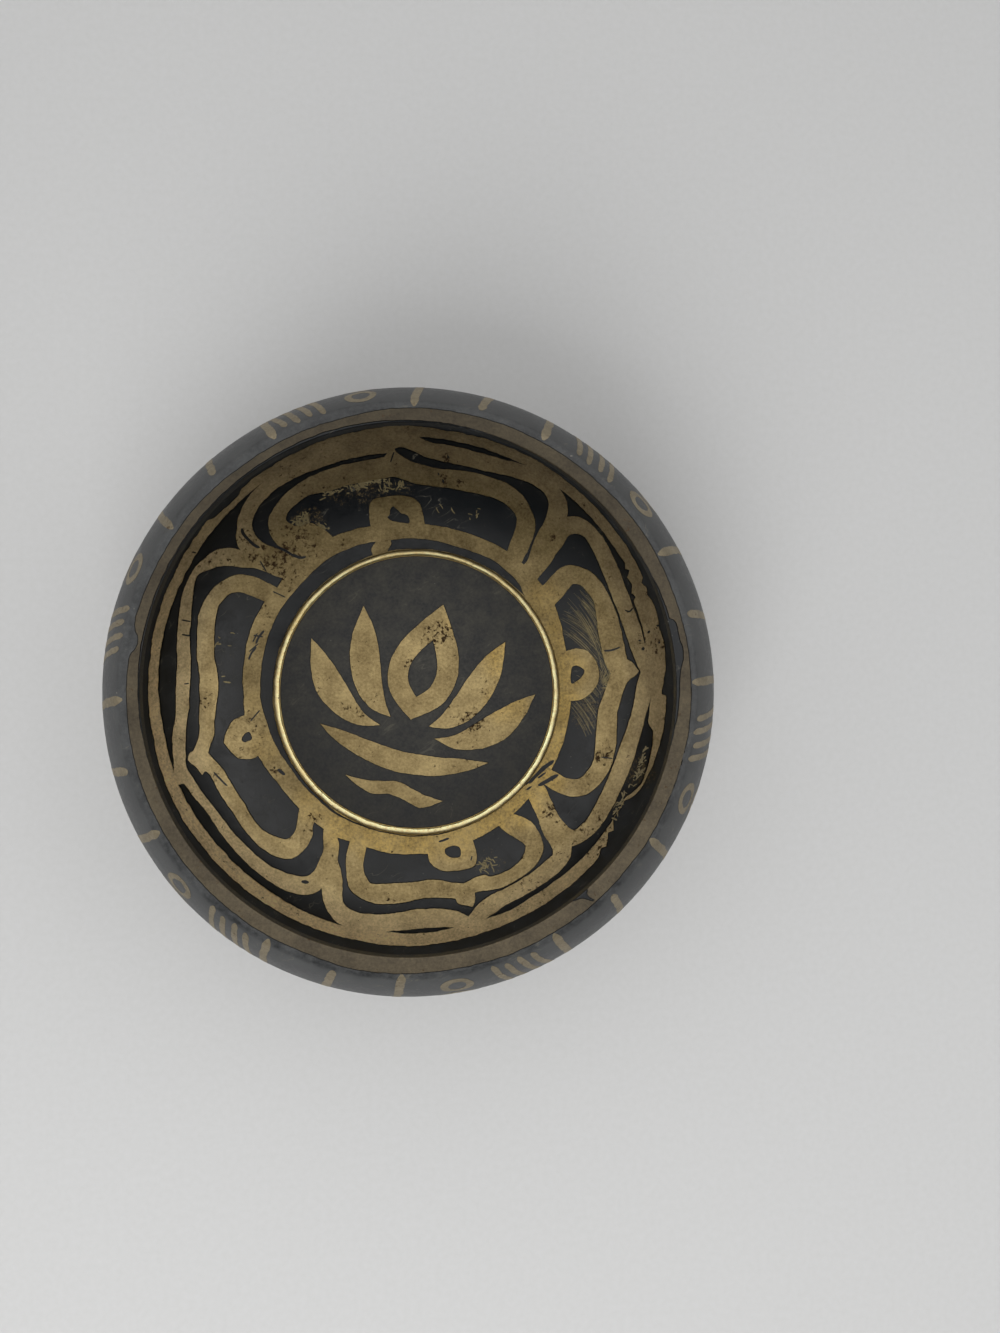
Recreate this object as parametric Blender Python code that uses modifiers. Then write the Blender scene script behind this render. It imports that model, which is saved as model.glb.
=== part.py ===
"""Singing bowl: a cast and turned brass bowl whose etched ground is filled with black lac.

Metres, +Z up. The origin is the centre of the flat base. Seen from above, +X is right and +Y is up.
"""

import math

import bmesh
import bpy
from mathutils import Vector

# Driving dimensions of the bowl
BELLY_RADIUS = 0.0500
BELLY_HEIGHT = 0.0245
BOWL_HEIGHT = 0.0430
BASE_RADIUS = 0.0270
WALL = 0.0025
FLOOR_THICKNESS = 0.0035
FLOOR_RADIUS = 0.0264
RIM_RADIUS = 0.0423
RIM_LAND = 0.0022
LIP_ROUND = 0.0020
SHOULDER_SWEEP = 50.0
BEAD_WIDTH = 0.0012
BEAD_HEIGHT = 0.0005

# The etched ground and the lac that fills it
ETCH_DEPTH = 0.0005
LAC_RECESS = 0.0001
LAC_CLEARANCE = 0.0001
BARE_EDGE = 0.0006

# The drawing on the inner wall, in degrees round the bowl and in degrees of climb up the wall's arc,
# where 0 is the edge of the floor and 90 is the belly
PETAL_AZIMUTHS = (6.0, 96.0, 194.0, 284.0)
COLLAR_AZIMUTHS = (42.0, 232.0)
COLLAR_BARE_CLIMB = 1.4
COLLAR_CLIMB_WIDTH = 3.0
BASE_RING_CLIMB_WIDTH = 7.0
BAND_FOOT_CLIMB = 60.0
BAND_CLIMB_WIDTH = 6.0
EYE_SEAT = 0.0006
EYE_HOLE_RADIUS = 0.0016
EYE_LINE = 0.0022

# Half outlines of a petal from its base to its tip: share of the half pitch between petals, and share of
# the climb from the base ring to the band. The field's tip is a share of the climb that the line round the
# eye leaves under the tip of the inner line
FIELD_EDGE = ((0.82, 0), (0.80, 0.30), (0.70, 0.44), (0.44, 0.42), (0.20, 0.43))
FIELD_TIP = 0.415
INNER_LINE_EDGE = ((0.91, -0.1), (0.91, 0.11), (0.90, 0.34), (0.83, 0.56), (0.68, 0.62), (0.42, 0.59),
                   (0.18, 0.61), (0, 0.70))
CHANNEL_EDGE = ((0.975, 0), (0.97, 0.38), (0.915, 0.66), (0.80, 0.74), (0.60, 0.73), (0.36, 0.71),
                (0.18, 0.74), (0, 0.83))
SPANDREL_EDGE = ((0.13, 0.955), (0.20, 0.90), (0.36, 0.87), (0.60, 0.89), (0.83, 0.89), (0.94, 0.82),
                 (1, 0.68))

# The outer wall, in degrees of climb: a frieze under the lip and a field above the base, parted by a
# bare ring
FRIEZE_FOOT_CLIMB = 76.0
OUTER_RING_CLIMB_WIDTH = 6.0
FOOT_FIELD_CLIMB = 14.0

# The lotus on the floor, in shares of its reach from the centre of the floor, before it is turned
EMBLEM_BARE = 0.0038
EMBLEM_TURN = -14.0
LOTUS_HEART = ((0.03, 0.70), (-0.24, 0.28), (-0.20, -0.02), (0, -0.19), (0.19, -0.03), (0.25, 0.30))
LOTUS_HEART_CORE = ((0.02, 0.45), (-0.10, 0.24), (-0.08, 0.06), (0, -0.03), (0.08, 0.06), (0.10, 0.25))
LOTUS_SIDE_PETAL = ((0.20, -0.20), (0.44, -0.06), (0.56, 0.21), (0.54, 0.51), (0.42, 0.33), (0.33, 0.09))
LOTUS_OUTER_PETAL = ((0.24, -0.32), (0.54, -0.30), (0.81, -0.10), (0.91, 0.18), (0.70, 0.04), (0.49, -0.14))
LOTUS_CUP = ((-0.60, -0.44), (-0.30, -0.57), (0, -0.62), (0.30, -0.57), (0.60, -0.42), (0.30, -0.44),
             (0, -0.47), (-0.30, -0.45))
LOTUS_WAVE = ((-0.36, -0.76), (-0.18, -0.83), (0, -0.80), (0.20, -0.86), (0.38, -0.78), (0.20, -0.75),
              (0, -0.69), (-0.18, -0.72))

# Facets
TURNED_STEPS = 40
WALL_FACETS = 4
BELLY_FACETS = 2
SHOULDER_FACETS = 3
FOOT_FACETS = 4
LIP_FACETS = 2
BEAD_FACETS = 4
CURVE_FACETS = 2
ARC_STEP = 9.0
EYE_FACETS = 12
SHARPEST_MITRE = 0.4
WELD = 1e-6
CUTTER_REACH = 0.0006

BRASS = (0.42, 0.31, 0.13, 1.0)
BRASS_ROUGHNESS = 0.38
LAC_BLACK = (0.022, 0.021, 0.020, 1.0)
LAC_ROUGHNESS = 0.45

# Sizes that follow from those above
BELLY_CLIMB = 90.0
INNER_BELLY_RADIUS = BELLY_RADIUS - WALL
BEAD_CLIMB = math.degrees(math.asin(BEAD_WIDTH / 2 / (INNER_BELLY_RADIUS - FLOOR_RADIUS)))
COLLAR_FOOT_CLIMB = BEAD_CLIMB + COLLAR_BARE_CLIMB
COLLAR_TOP_CLIMB = COLLAR_FOOT_CLIMB + COLLAR_CLIMB_WIDTH
PETAL_FOOT_CLIMB = COLLAR_TOP_CLIMB + BASE_RING_CLIMB_WIDTH
BAND_TOP_CLIMB = BAND_FOOT_CLIMB + BAND_CLIMB_WIDTH
FOOT_FIELD_TOP_CLIMB = FRIEZE_FOOT_CLIMB - OUTER_RING_CLIMB_WIDTH
LAC_FLOOR = ETCH_DEPTH - LAC_CLEARANCE
GROUND_RADIUS = FLOOR_RADIUS - BEAD_WIDTH / 2 - BARE_EDGE
EMBLEM_REACH = FLOOR_RADIUS - BEAD_WIDTH / 2 - EMBLEM_BARE


def spaced(start, end, facets):
    """Return evenly spaced values after the start, up to and with the end."""
    return [start + (end - start) * step / facets for step in range(1, facets + 1)]


def inner_wall(climb):
    """Return radius and height on the inner wall below the belly."""
    angle = math.radians(climb)
    radius = FLOOR_RADIUS + (INNER_BELLY_RADIUS - FLOOR_RADIUS) * math.sin(angle)
    height = BELLY_HEIGHT - (BELLY_HEIGHT - FLOOR_THICKNESS) * math.cos(angle)
    return radius, height


def outer_wall(climb):
    """Return radius and height on the outer wall below the belly."""
    angle = math.radians(climb)
    return BASE_RADIUS + (BELLY_RADIUS - BASE_RADIUS) * math.sin(angle), BELLY_HEIGHT * (1 - math.cos(angle))


def shoulder(belly_radius, end_radius, end_height):
    """Return the points above the belly, up to and with the given end."""
    sweep = math.radians(SHOULDER_SWEEP)
    inset = (belly_radius - end_radius) / (1 - math.cos(sweep))
    rise = (end_height - BELLY_HEIGHT) / math.sin(sweep)
    points = []
    for angle in spaced(0, sweep, SHOULDER_FACETS):
        points.append((belly_radius - inset * (1 - math.cos(angle)), BELLY_HEIGHT + rise * math.sin(angle)))
    return points


def drawn_wall():
    """Return the inner wall from the bead up to the top of the band."""
    climbs = [BEAD_CLIMB, *spaced(BEAD_CLIMB, BAND_FOOT_CLIMB, WALL_FACETS), BAND_TOP_CLIMB]
    return [inner_wall(climb) for climb in climbs]


def upper_wall():
    """Return the inner wall from the top of the band up to the rim's inner edge."""
    climbs = [BAND_TOP_CLIMB, *spaced(BAND_TOP_CLIMB, BELLY_CLIMB, BELLY_FACETS)]
    points = [inner_wall(climb) for climb in climbs]
    points += shoulder(INNER_BELLY_RADIUS, RIM_RADIUS - RIM_LAND, BOWL_HEIGHT - LIP_ROUND)
    return points + [(RIM_RADIUS - RIM_LAND, BOWL_HEIGHT)]


def frieze_wall():
    """Return the outer wall from the rim's land down to the foot of the frieze."""
    lip_height = BOWL_HEIGHT - LIP_ROUND
    points = []
    for angle in [0, *spaced(0, math.pi / 2, LIP_FACETS)][:-1]:
        points.append((RIM_RADIUS + LIP_ROUND * math.sin(angle), lip_height + LIP_ROUND * math.cos(angle)))
    points += reversed(shoulder(BELLY_RADIUS, RIM_RADIUS + LIP_ROUND, lip_height))
    return points + [outer_wall(BELLY_CLIMB), outer_wall(FRIEZE_FOOT_CLIMB)]


def foot_wall():
    """Return the outer wall between the bare ring and the bare foot."""
    climbs = spaced(FOOT_FIELD_TOP_CLIMB, FOOT_FIELD_CLIMB, FOOT_FACETS)
    return [outer_wall(climb) for climb in (FOOT_FIELD_TOP_CLIMB, *climbs)]


def bead():
    """Return the half-round bead on the edge of the floor, without its outer end."""
    angles = [math.pi, *spaced(math.pi, 0, BEAD_FACETS)][:-1]
    return [(FLOOR_RADIUS + BEAD_WIDTH / 2 * math.cos(angle), FLOOR_THICKNESS + BEAD_HEIGHT * math.sin(angle))
            for angle in angles]


def sunk(profile, depth):
    """Move an open profile to its right-hand side, into the metal, by a depth."""
    moved = []
    for index, point in enumerate(profile):
        before = Vector(profile[max(index - 1, 0)])
        after = Vector(profile[min(index + 1, len(profile) - 1)])
        along = (after - before).normalized()
        moved.append((point[0] + along.y * depth, point[1] - along.x * depth))
    return moved


def shortened(profile, length):
    """Cut a length off the start of an open profile."""
    points = [Vector(point) for point in profile]
    while (points[1] - points[0]).length <= length:
        length -= (points[1] - points[0]).length
        points.pop(0)
    points[0] += (points[1] - points[0]).normalized() * length
    return [tuple(point) for point in points]


def trimmed(profile, start, end):
    """Cut a length off each end of an open profile."""
    return shortened(shortened(profile, start)[::-1], end)[::-1]


def smooth(points, closed):
    """Return points on a Catmull-Rom curve through the given ones."""
    vectors = [Vector(point) for point in points]
    if closed:
        vectors = [vectors[-1], *vectors, *vectors[:2]]
    else:
        vectors = [vectors[0], *vectors, vectors[-1]]
    curve = []
    for before, start, end, after in zip(vectors, vectors[1:], vectors[2:], vectors[3:]):
        for step in range(CURVE_FACETS):
            share = step / CURVE_FACETS
            pull = (end - before) * share
            bend = (2 * before - 5 * start + 4 * end - after) * share ** 2
            twist = (3 * start - before - 3 * end + after) * share ** 3
            curve.append(tuple(start + (pull + bend + twist) / 2))
    if not closed:
        curve.append(tuple(vectors[-1]))
    return curve


def grown(outline, distance):
    """Move a counter-clockwise outline outwards by a distance."""
    moved = []
    for index, (x, y) in enumerate(outline):
        arriving = (Vector((x, y)) - Vector(outline[index - 1])).normalized()
        leaving = (Vector(outline[(index + 1) % len(outline)]) - Vector((x, y))).normalized()
        along = (arriving + leaving).normalized()
        step = distance / max(along.dot(leaving), SHARPEST_MITRE)
        moved.append((x + along.y * step, y - along.x * step))
    return moved


def plan(azimuth, climb):
    """Return where a place on the inner wall lies in plan."""
    return on_circle(inner_wall(climb)[0], math.radians(azimuth))


def on_circle(radius, angle):
    """Return a plan point at a radius from the axis."""
    return radius * math.cos(angle), radius * math.sin(angle)


def arc(start, end, climb):
    """Return plan points along the wall at one climb, without its two ends."""
    steps = max(2, round(abs(end - start) / ARC_STEP))
    return [plan(azimuth, climb) for azimuth in spaced(start, end, steps)[:-1]]


def circle(centre, radius, facets):
    """Return a plan circle."""
    offsets = [on_circle(radius, angle) for angle in spaced(0, math.tau, facets)]
    return [(centre[0] + x, centre[1] + y) for x, y in offsets]


def half_pitch(index, side):
    """Return half the angle from a petal to its neighbour on one side."""
    neighbour = PETAL_AZIMUTHS[(index + side) % len(PETAL_AZIMUTHS)]
    return side * (neighbour - PETAL_AZIMUTHS[index]) % 360 / 2


def petal_side(index, side, edge):
    """Return one side of a petal's edge as smoothed places of azimuth and climb."""
    pitch = half_pitch(index, side)
    rise = BAND_FOOT_CLIMB - PETAL_FOOT_CLIMB
    places = []
    for across, up in edge:
        places.append((PETAL_AZIMUTHS[index] + side * across * pitch, PETAL_FOOT_CLIMB + up * rise))
    return smooth(places, closed=False)


def petal_outline(index, edge):
    """Return the closed plan outline of a petal's edge."""
    right = petal_side(index, -1, edge)
    left = petal_side(index, 1, edge)
    base = arc(left[0][0], right[0][0], right[0][1])
    return [plan(*place) for place in right + left[-2::-1]] + base


def spandrel_outline(index):
    """Return the closed plan outline of the ground between a petal and the next one."""
    near = petal_side(index, 1, SPANDREL_EDGE)
    far = petal_side((index + 1) % len(PETAL_AZIMUTHS), -1, SPANDREL_EDGE)
    turn = near[-1][0] - far[-1][0]
    far = [(azimuth + turn, climb) for azimuth, climb in far]
    lower = [plan(*place) for place in far + near[-2::-1]]
    start, end = near[0][0], far[0][0]
    upper = [plan(start, BAND_FOOT_CLIMB), *arc(start, end, BAND_FOOT_CLIMB), plan(end, BAND_FOOT_CLIMB)]
    return lower + upper


def collar_outline():
    """Return the closed plan outline of the ground between the bead and the base ring."""
    start, end = COLLAR_AZIMUTHS
    top = COLLAR_TOP_CLIMB
    foot = COLLAR_FOOT_CLIMB
    outer = [plan(start, top), *arc(start, end, top), plan(end, top)]
    inner = [plan(end, foot), *arc(end, start, foot), plan(start, foot)]
    return outer + inner


def eye_middle():
    """Return how far the middle of a petal's eye, which sits on the base ring, is from the axis."""
    return inner_wall(PETAL_FOOT_CLIMB)[0] + EYE_SEAT + EYE_HOLE_RADIUS


def eye_outline(index, radius):
    """Return a circle round a petal's eye."""
    return circle(on_circle(eye_middle(), math.radians(PETAL_AZIMUTHS[index])), radius, EYE_FACETS)


def field_edge():
    """Return the half outline of a petal's field, with a tip that clears the line round the eye."""
    reach = eye_middle() + EYE_HOLE_RADIUS + EYE_LINE - FLOOR_RADIUS
    line_climb = math.degrees(math.asin(reach / (INNER_BELLY_RADIUS - FLOOR_RADIUS)))
    line_top = (line_climb - PETAL_FOOT_CLIMB) / (BAND_FOOT_CLIMB - PETAL_FOOT_CLIMB)
    inner_line_tip = INNER_LINE_EDGE[-1][1]
    return (*FIELD_EDGE, (0, line_top + FIELD_TIP * (inner_line_tip - line_top)))


def emblem_outline(shares, side=1):
    """Return a smoothed and turned stroke of the lotus in plan, mirrored where side is -1."""
    points = [(side * x * EMBLEM_REACH, y * EMBLEM_REACH) for x, y in shares[::side]]
    turn = math.radians(EMBLEM_TURN)
    cosine, sine = math.cos(turn), math.sin(turn)
    return [(x * cosine - y * sine, x * sine + y * cosine) for x, y in smooth(points, closed=True)]


def collection(name):
    """Add a collection to the scene."""
    made = bpy.data.collections.new(name)
    bpy.context.scene.collection.children.link(made)
    return made


def linked(name, data, group):
    """Link new data to a collection as an object."""
    made = bpy.data.objects.new(name, data)
    group.objects.link(made)
    return made


def as_cutter(made):
    """Mark an object as a cutter."""
    made.hide_render = True
    made.display_type = "WIRE"
    return made


def turned(name, profile, closed, group):
    """Turn a profile round the bowl's axis."""
    mesh = bpy.data.meshes.new(name)
    edges = [(index, index + 1) for index in range(len(profile) - 1)]
    if closed:
        edges.append((len(profile) - 1, 0))
    mesh.from_pydata([(radius, 0, height) for radius, height in profile], edges, [])
    made = linked(name, mesh, group)
    screw = made.modifiers.new("Turn", "SCREW")
    screw.steps = TURNED_STEPS
    screw.render_steps = TURNED_STEPS
    screw.use_merge_vertices = True
    screw.merge_threshold = WELD
    return made


def layer(name, profile, top, bottom, group):
    """Turn the layer that lies between two depths under a profile."""
    return turned(name, sunk(profile, top) + sunk(profile, bottom)[::-1], True, group)


def slab(name, outline, low, high, group):
    """Raise a plan outline into an upright solid between two heights."""
    curve = bpy.data.curves.new(name, "CURVE")
    curve.dimensions = "2D"
    curve.fill_mode = "BOTH"
    curve.extrude = (high - low) / 2
    spline = curve.splines.new("POLY")
    spline.points.add(len(outline) - 1)
    for point, (x, y) in zip(spline.points, outline):
        point.co = (x, y, 0, 1)
    spline.use_cyclic_u = True
    drawn = linked(name + "_outline", curve, group)
    bpy.context.view_layer.update()
    mesh = bpy.data.meshes.new_from_object(drawn.evaluated_get(bpy.context.evaluated_depsgraph_get()))
    bpy.data.objects.remove(drawn)
    shape = bmesh.new()
    shape.from_mesh(mesh)
    bmesh.ops.remove_doubles(shape, verts=shape.verts, dist=WELD)
    bmesh.ops.recalc_face_normals(shape, faces=shape.faces)
    bmesh.ops.translate(shape, verts=shape.verts, vec=(0, 0, (low + high) / 2))
    shape.to_mesh(mesh)
    shape.free()
    return linked(name, mesh, group)


def boolean(made, operation, outline):
    """Cut an upright outline out of an object, or keep only what lies inside it."""
    name = f"{made.name}_{operation.lower()}_{len(made.modifiers)}"
    add_boolean(made, operation, as_cutter(slab(name, outline, 0, BOWL_HEIGHT, cutters)))


def add_boolean(made, operation, tool):
    """Add a Boolean modifier; the exact solver leaves open edges on layers as thin as these."""
    modifier = made.modifiers.new(tool.name, "BOOLEAN")
    modifier.operation = operation
    modifier.object = tool
    modifier.solver = "MANIFOLD"


def finish(made, colour, roughness, metallic):
    """Give an object a material of its own and smooth shading."""
    material = bpy.data.materials.new(made.name + "_finish")
    material.use_nodes = True
    shader = material.node_tree.nodes["Principled BSDF"]
    shader.inputs["Base Color"].default_value = colour
    shader.inputs["Roughness"].default_value = roughness
    shader.inputs["Metallic"].default_value = metallic
    made.data.materials.append(material)
    made.data.shade_smooth()


def ground_area(name, keep, drops=()):
    """Make one area of lac on the inner wall and its pocket: an upright outline, less others."""
    pocket = as_cutter(layer(name + "_pocket", drawn_wall(), -CUTTER_REACH, ETCH_DEPTH, cutters))
    lac = layer(name, drawn_wall(), LAC_RECESS, LAC_FLOOR, parts)
    for made, gap in ((pocket, 0), (lac, LAC_CLEARANCE)):
        boolean(made, "INTERSECT", grown(keep, -gap))
        for drop in drops:
            boolean(made, "DIFFERENCE", grown(drop, gap))
    finish(lac, LAC_BLACK, LAC_ROUGHNESS, 0)
    pockets.append(pocket)


def ground_plate(name, outline, drops=()):
    """Make one flat area of lac on the floor and its pocket: an outline, less others."""
    etched = FLOOR_THICKNESS - ETCH_DEPTH
    pocket = slab(name + "_pocket", outline, etched, FLOOR_THICKNESS + CUTTER_REACH, cutters)
    low = FLOOR_THICKNESS - LAC_FLOOR
    lac = slab(name, grown(outline, -LAC_CLEARANCE), low, FLOOR_THICKNESS - LAC_RECESS, parts)
    for made, gap in ((as_cutter(pocket), 0), (lac, LAC_CLEARANCE)):
        for drop in drops:
            boolean(made, "DIFFERENCE", grown(drop, gap))
    finish(lac, LAC_BLACK, LAC_ROUGHNESS, 0)
    pockets.append(pocket)


def ground_ring(name, profile, bare_start, bare_end):
    """Make a turned ring of lac and its pocket along an open profile."""
    bare = trimmed(profile, bare_start, bare_end)
    pockets.append(as_cutter(layer(name + "_pocket", bare, -CUTTER_REACH, ETCH_DEPTH, cutters)))
    lac = layer(name, trimmed(bare, LAC_CLEARANCE, LAC_CLEARANCE), LAC_RECESS, LAC_FLOOR, parts)
    finish(lac, LAC_BLACK, LAC_ROUGHNESS, 0)


def inner_drawing():
    """Make the lac between the lines on the inner wall."""
    ground_area("collar_ground", collar_outline())
    for index in range(len(PETAL_AZIMUTHS)):
        number = index + 1
        eye_line = eye_outline(index, EYE_HOLE_RADIUS + EYE_LINE)
        ground_area(f"petal_field_{number}", petal_outline(index, field_edge()), [eye_line])
        ground_area(f"petal_eye_{number}", eye_outline(index, EYE_HOLE_RADIUS))
        inner_line = petal_outline(index, INNER_LINE_EDGE)
        ground_area(f"petal_channel_{number}", petal_outline(index, CHANNEL_EDGE), [inner_line])
        ground_area(f"spandrel_{number}", spandrel_outline(index))
    ground_ring("rim_channel_ground", upper_wall(), 0, BARE_EDGE)


def floor_drawing():
    """Make the lac round the lotus on the floor and inside the lotus's heart."""
    strokes = [emblem_outline(shares) for shares in (LOTUS_HEART, LOTUS_CUP, LOTUS_WAVE)]
    for side in (1, -1):
        strokes += [emblem_outline(LOTUS_SIDE_PETAL, side), emblem_outline(LOTUS_OUTER_PETAL, side)]
    ground_plate("floor_ground", circle((0, 0), GROUND_RADIUS, TURNED_STEPS), strokes)
    ground_plate("emblem_core", emblem_outline(LOTUS_HEART_CORE))


def outer_drawing():
    """Make the two rings of lac on the outer wall."""
    ground_ring("outer_frieze_ground", frieze_wall(), BARE_EDGE, 0)
    ground_ring("outer_foot_ground", foot_wall(), 0, 0)


def bowl_body():
    """Turn the brass bowl and etch its pockets."""
    inside = [(0, FLOOR_THICKNESS), *bead(), *drawn_wall(), *upper_wall()[1:]]
    outside = [*frieze_wall(), *foot_wall(), (BASE_RADIUS, 0), (0, 0)]
    made = turned("bowl_body", inside + outside, False, parts)
    for pocket in pockets:
        add_boolean(made, "DIFFERENCE", pocket)
    finish(made, BRASS, BRASS_ROUGHNESS, 1)


for old in list(bpy.data.objects):
    bpy.data.objects.remove(old)
parts = collection("singing_bowl")
cutters = collection("singing_bowl_cutters")
pockets = []
inner_drawing()
floor_drawing()
outer_drawing()
bowl_body()
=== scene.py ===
"""The looks of a singing bowl: cast and turned brass whose etched ground is filled with black lac.

Metres, +Z up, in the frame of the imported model. Seen from above, +X is right and +Y is up. Azimuths are
degrees from +X, and climbs are degrees up the wall's arc, from 0 at the floor to 90 at the belly.
"""

import math
import random

import bpy
import numpy as np
from mathutils import Matrix, Vector, kdtree, noise


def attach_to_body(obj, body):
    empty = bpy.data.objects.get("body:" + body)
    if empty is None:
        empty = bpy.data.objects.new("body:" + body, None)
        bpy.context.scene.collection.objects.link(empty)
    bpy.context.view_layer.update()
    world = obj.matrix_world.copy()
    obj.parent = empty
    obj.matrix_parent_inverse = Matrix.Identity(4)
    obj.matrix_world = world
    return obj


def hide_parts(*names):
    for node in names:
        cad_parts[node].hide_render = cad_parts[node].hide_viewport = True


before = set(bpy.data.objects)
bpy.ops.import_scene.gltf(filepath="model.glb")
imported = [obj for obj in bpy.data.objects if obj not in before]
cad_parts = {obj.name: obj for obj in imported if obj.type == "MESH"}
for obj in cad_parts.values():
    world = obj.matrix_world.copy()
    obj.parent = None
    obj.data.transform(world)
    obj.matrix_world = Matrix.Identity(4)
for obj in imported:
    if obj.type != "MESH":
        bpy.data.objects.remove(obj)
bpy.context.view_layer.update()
noise.seed_set(1)  # keeps the hand's tremble, which noise_vector gives, the same in every run

MM = 0.001

# The bowl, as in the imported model
BELLY_RADIUS = 50.0 * MM
BELLY_HEIGHT = 24.5 * MM
BOWL_HEIGHT = 43.0 * MM
BASE_RADIUS = 27.0 * MM
WALL = 2.5 * MM
FLOOR_THICKNESS = 3.5 * MM
FLOOR_RADIUS = 26.4 * MM
RIM_RADIUS = 42.3 * MM
RIM_LAND = 2.2 * MM
LIP_ROUND = 2.0 * MM
SHOULDER_SWEEP = 50.0
BEAD_WIDTH = 1.2 * MM
BEAD_HEIGHT = 0.5 * MM
BEAD_FLATNESS = 0.6
BEAD_TREMBLE = (0.10, 0.10, 0.08)
BEAD_WAVE = 1.5
RIM_EDGE_ROUND = 0.25 * MM
LIP_FOOT_ANGLE = 41.66
BASE_RING_WIDTH = 2.2 * MM
BASE_RECESS = 0.25 * MM
BASE_GROOVES = (20, 15, 10, 5)
BASE_GROOVE_HALF = 0.5
BASE_GROOVE_DEPTH = BASE_RECESS * 1.4
INNER_BELLY_RADIUS = BELLY_RADIUS - WALL
RIM_INNER_RADIUS = RIM_RADIUS - RIM_LAND
LIP_HEIGHT = BOWL_HEIGHT - LIP_ROUND
BEAD_CLIMB = math.degrees(math.asin(BEAD_WIDTH / 2 / (INNER_BELLY_RADIUS - FLOOR_RADIUS)))

# The etched ground: its depth, how far the lac lies below the brass, and the dark crack between the two
ETCH_DEPTH = 0.30 * MM
LAC_RECESS = 0.05 * MM
LAC_FLOOR = 0.26 * MM
CRACK = 0.14 * MM
OUTER_RECESS = 0.13 * MM
MARK_RECESS = 0.10 * MM
GROUND_RADIUS = FLOOR_RADIUS - BEAD_WIDTH / 2 - 0.08 * MM

# Where the lac starts and ends: the inner wall's drawing and rim channel and the outer wall's fields, in
# climbs, and how far below the top the rim channel ends
DRAWING_CLIMBS = (0.8, 75)
RIM_CHANNEL_CLIMB = 46
RIM_BARE = 0.32 * MM
FRIEZE_FOOT_CLIMB = 76.0
FOOT_FIELD_TOP_CLIMB = 70.0
FOOT_FIELD_CLIMB = 14.0

# Facets of the turned shapes, the step along a drawn outline, the weld of points that meet, and the angle
# up to which faces are shaded smooth
TURNED_STEPS = 288
POCKET_STEPS = 144
TABLE_STEPS = 96
FLOOR_RINGS = (0, 4, 8, 12, 16, 20, 23, 25)
RIM_RINGS = (41.0, 41.6, 42.2)
LAND_RINGS = (40.6, 41.1, 41.6, 42.0)
BEAD_FACETS = 16
INNER_WALL_FACETS = 70
INNER_SHOULDER_FACETS = 24
RIM_EDGE_FACETS = 4
LIP_FACETS = 8
OUTER_SHOULDER_FACETS = 28
OUTER_WALL_FACETS = 60
STEP_DEGREES = 0.55
WELD = 0.001 * MM
SMOOTH_ANGLE = math.radians(35)

# How far the hand trembles in outlines, in waves of so many mm, and how a stroke's width does, as a share
# of it; a stroke's tips start at a share of its width
TREMBLE = 0.15 * MM
LONG_WAVE = 1.6
SHORT_WAVE = 0.5
STROKE_WAVE = 1.3
STROKE_TREMOR = 0.3
TIP_SHARE = 0.25

# The drawing on the inner wall. An outline is a list of strokes of (azimuth, climb) that meet at corners:
# each stroke runs through its points to the first point of the next one.
FIELD_RIGHT = [
    [(329.6, 8.0), (329.7, 12.0), (329.8, 16.0), (330.4, 19.8), (331.6, 22.9), (334.0, 24.8), (337.5, 25.7),
     (341.0, 25.1), (345.0, 23.6), (349.0, 22.5), (353.0, 22.1), (356.3, 22.9), (359.2, 24.7), (362.5, 26.8)],
    [(365.4, 28.8), (367.6, 27.0), (371.0, 26.1), (374.0, 26.1), (377.0, 26.5), (381.0, 28.0), (384.5, 29.8),
     (388.0, 30.8), (391.5, 30.2), (393.6, 28.7), (394.7, 26.0), (394.2, 21.8), (393.3, 18.2), (392.9, 15.0)],
    [(392.5, 12.1), (385.0, 10.1), (380.0, 8.6), (375.0, 7.9), (366.0, 7.6), (356.0, 7.5), (345.0, 7.7)],
]
FIELD_TOP = [
    [(57.7, 14.5), (58.3, 19.5), (59.0, 25.5), (60.0, 30.6), (61.6, 33.6), (64.0, 35.3), (67.5, 36.2),
     (72.0, 35.6), (78.0, 34.9), (84.0, 34.8), (90.0, 35.5), (93.4, 37.7), (96.0, 39.9), (99.0, 39.8),
     (104.0, 40.0), (110.0, 40.7), (114.0, 41.2), (117.0, 42.9), (119.5, 43.9), (123.0, 43.2), (126.0, 41.6),
     (127.5, 39.0), (127.0, 35.4), (125.6, 32.2), (122.6, 30.6), (121.5, 28.0), (120.0, 24.0)],
    [(118.9, 18.6), (110.0, 17.4), (105.0, 16.4), (96.0, 15.2), (87.5, 14.6), (75.0, 14.1), (65.0, 14.2)],
]
FIELD_LEFT = [
    [(149.6, 18.5), (150.0, 24.5), (150.5, 29.7), (151.6, 33.8), (153.6, 36.7), (156.5, 38.1), (159.0, 37.8),
     (162.0, 36.4), (166.0, 34.4), (170.0, 32.9), (173.0, 30.9), (176.0, 29.4), (180.0, 28.9), (184.0, 30.0),
     (188.0, 31.6), (192.0, 33.0), (194.5, 36.0)],
    [(196.6, 38.3), (199.0, 36.3), (202.0, 33.9), (206.0, 33.1), (210.0, 32.6), (214.0, 32.3), (217.0, 33.1),
     (220.5, 33.3), (223.5, 32.5), (226.5, 30.3), (228.8, 27.8), (229.3, 24.3), (228.7, 20.8), (227.1, 16.8)],
    [(225.0, 12.4), (215.0, 12.6), (210.0, 13.4), (202.0, 14.9), (195.0, 15.8), (188.0, 16.4), (180.0, 16.2),
     (176.0, 17.1), (170.0, 17.3), (163.0, 18.3), (158.0, 18.5)],
]
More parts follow.
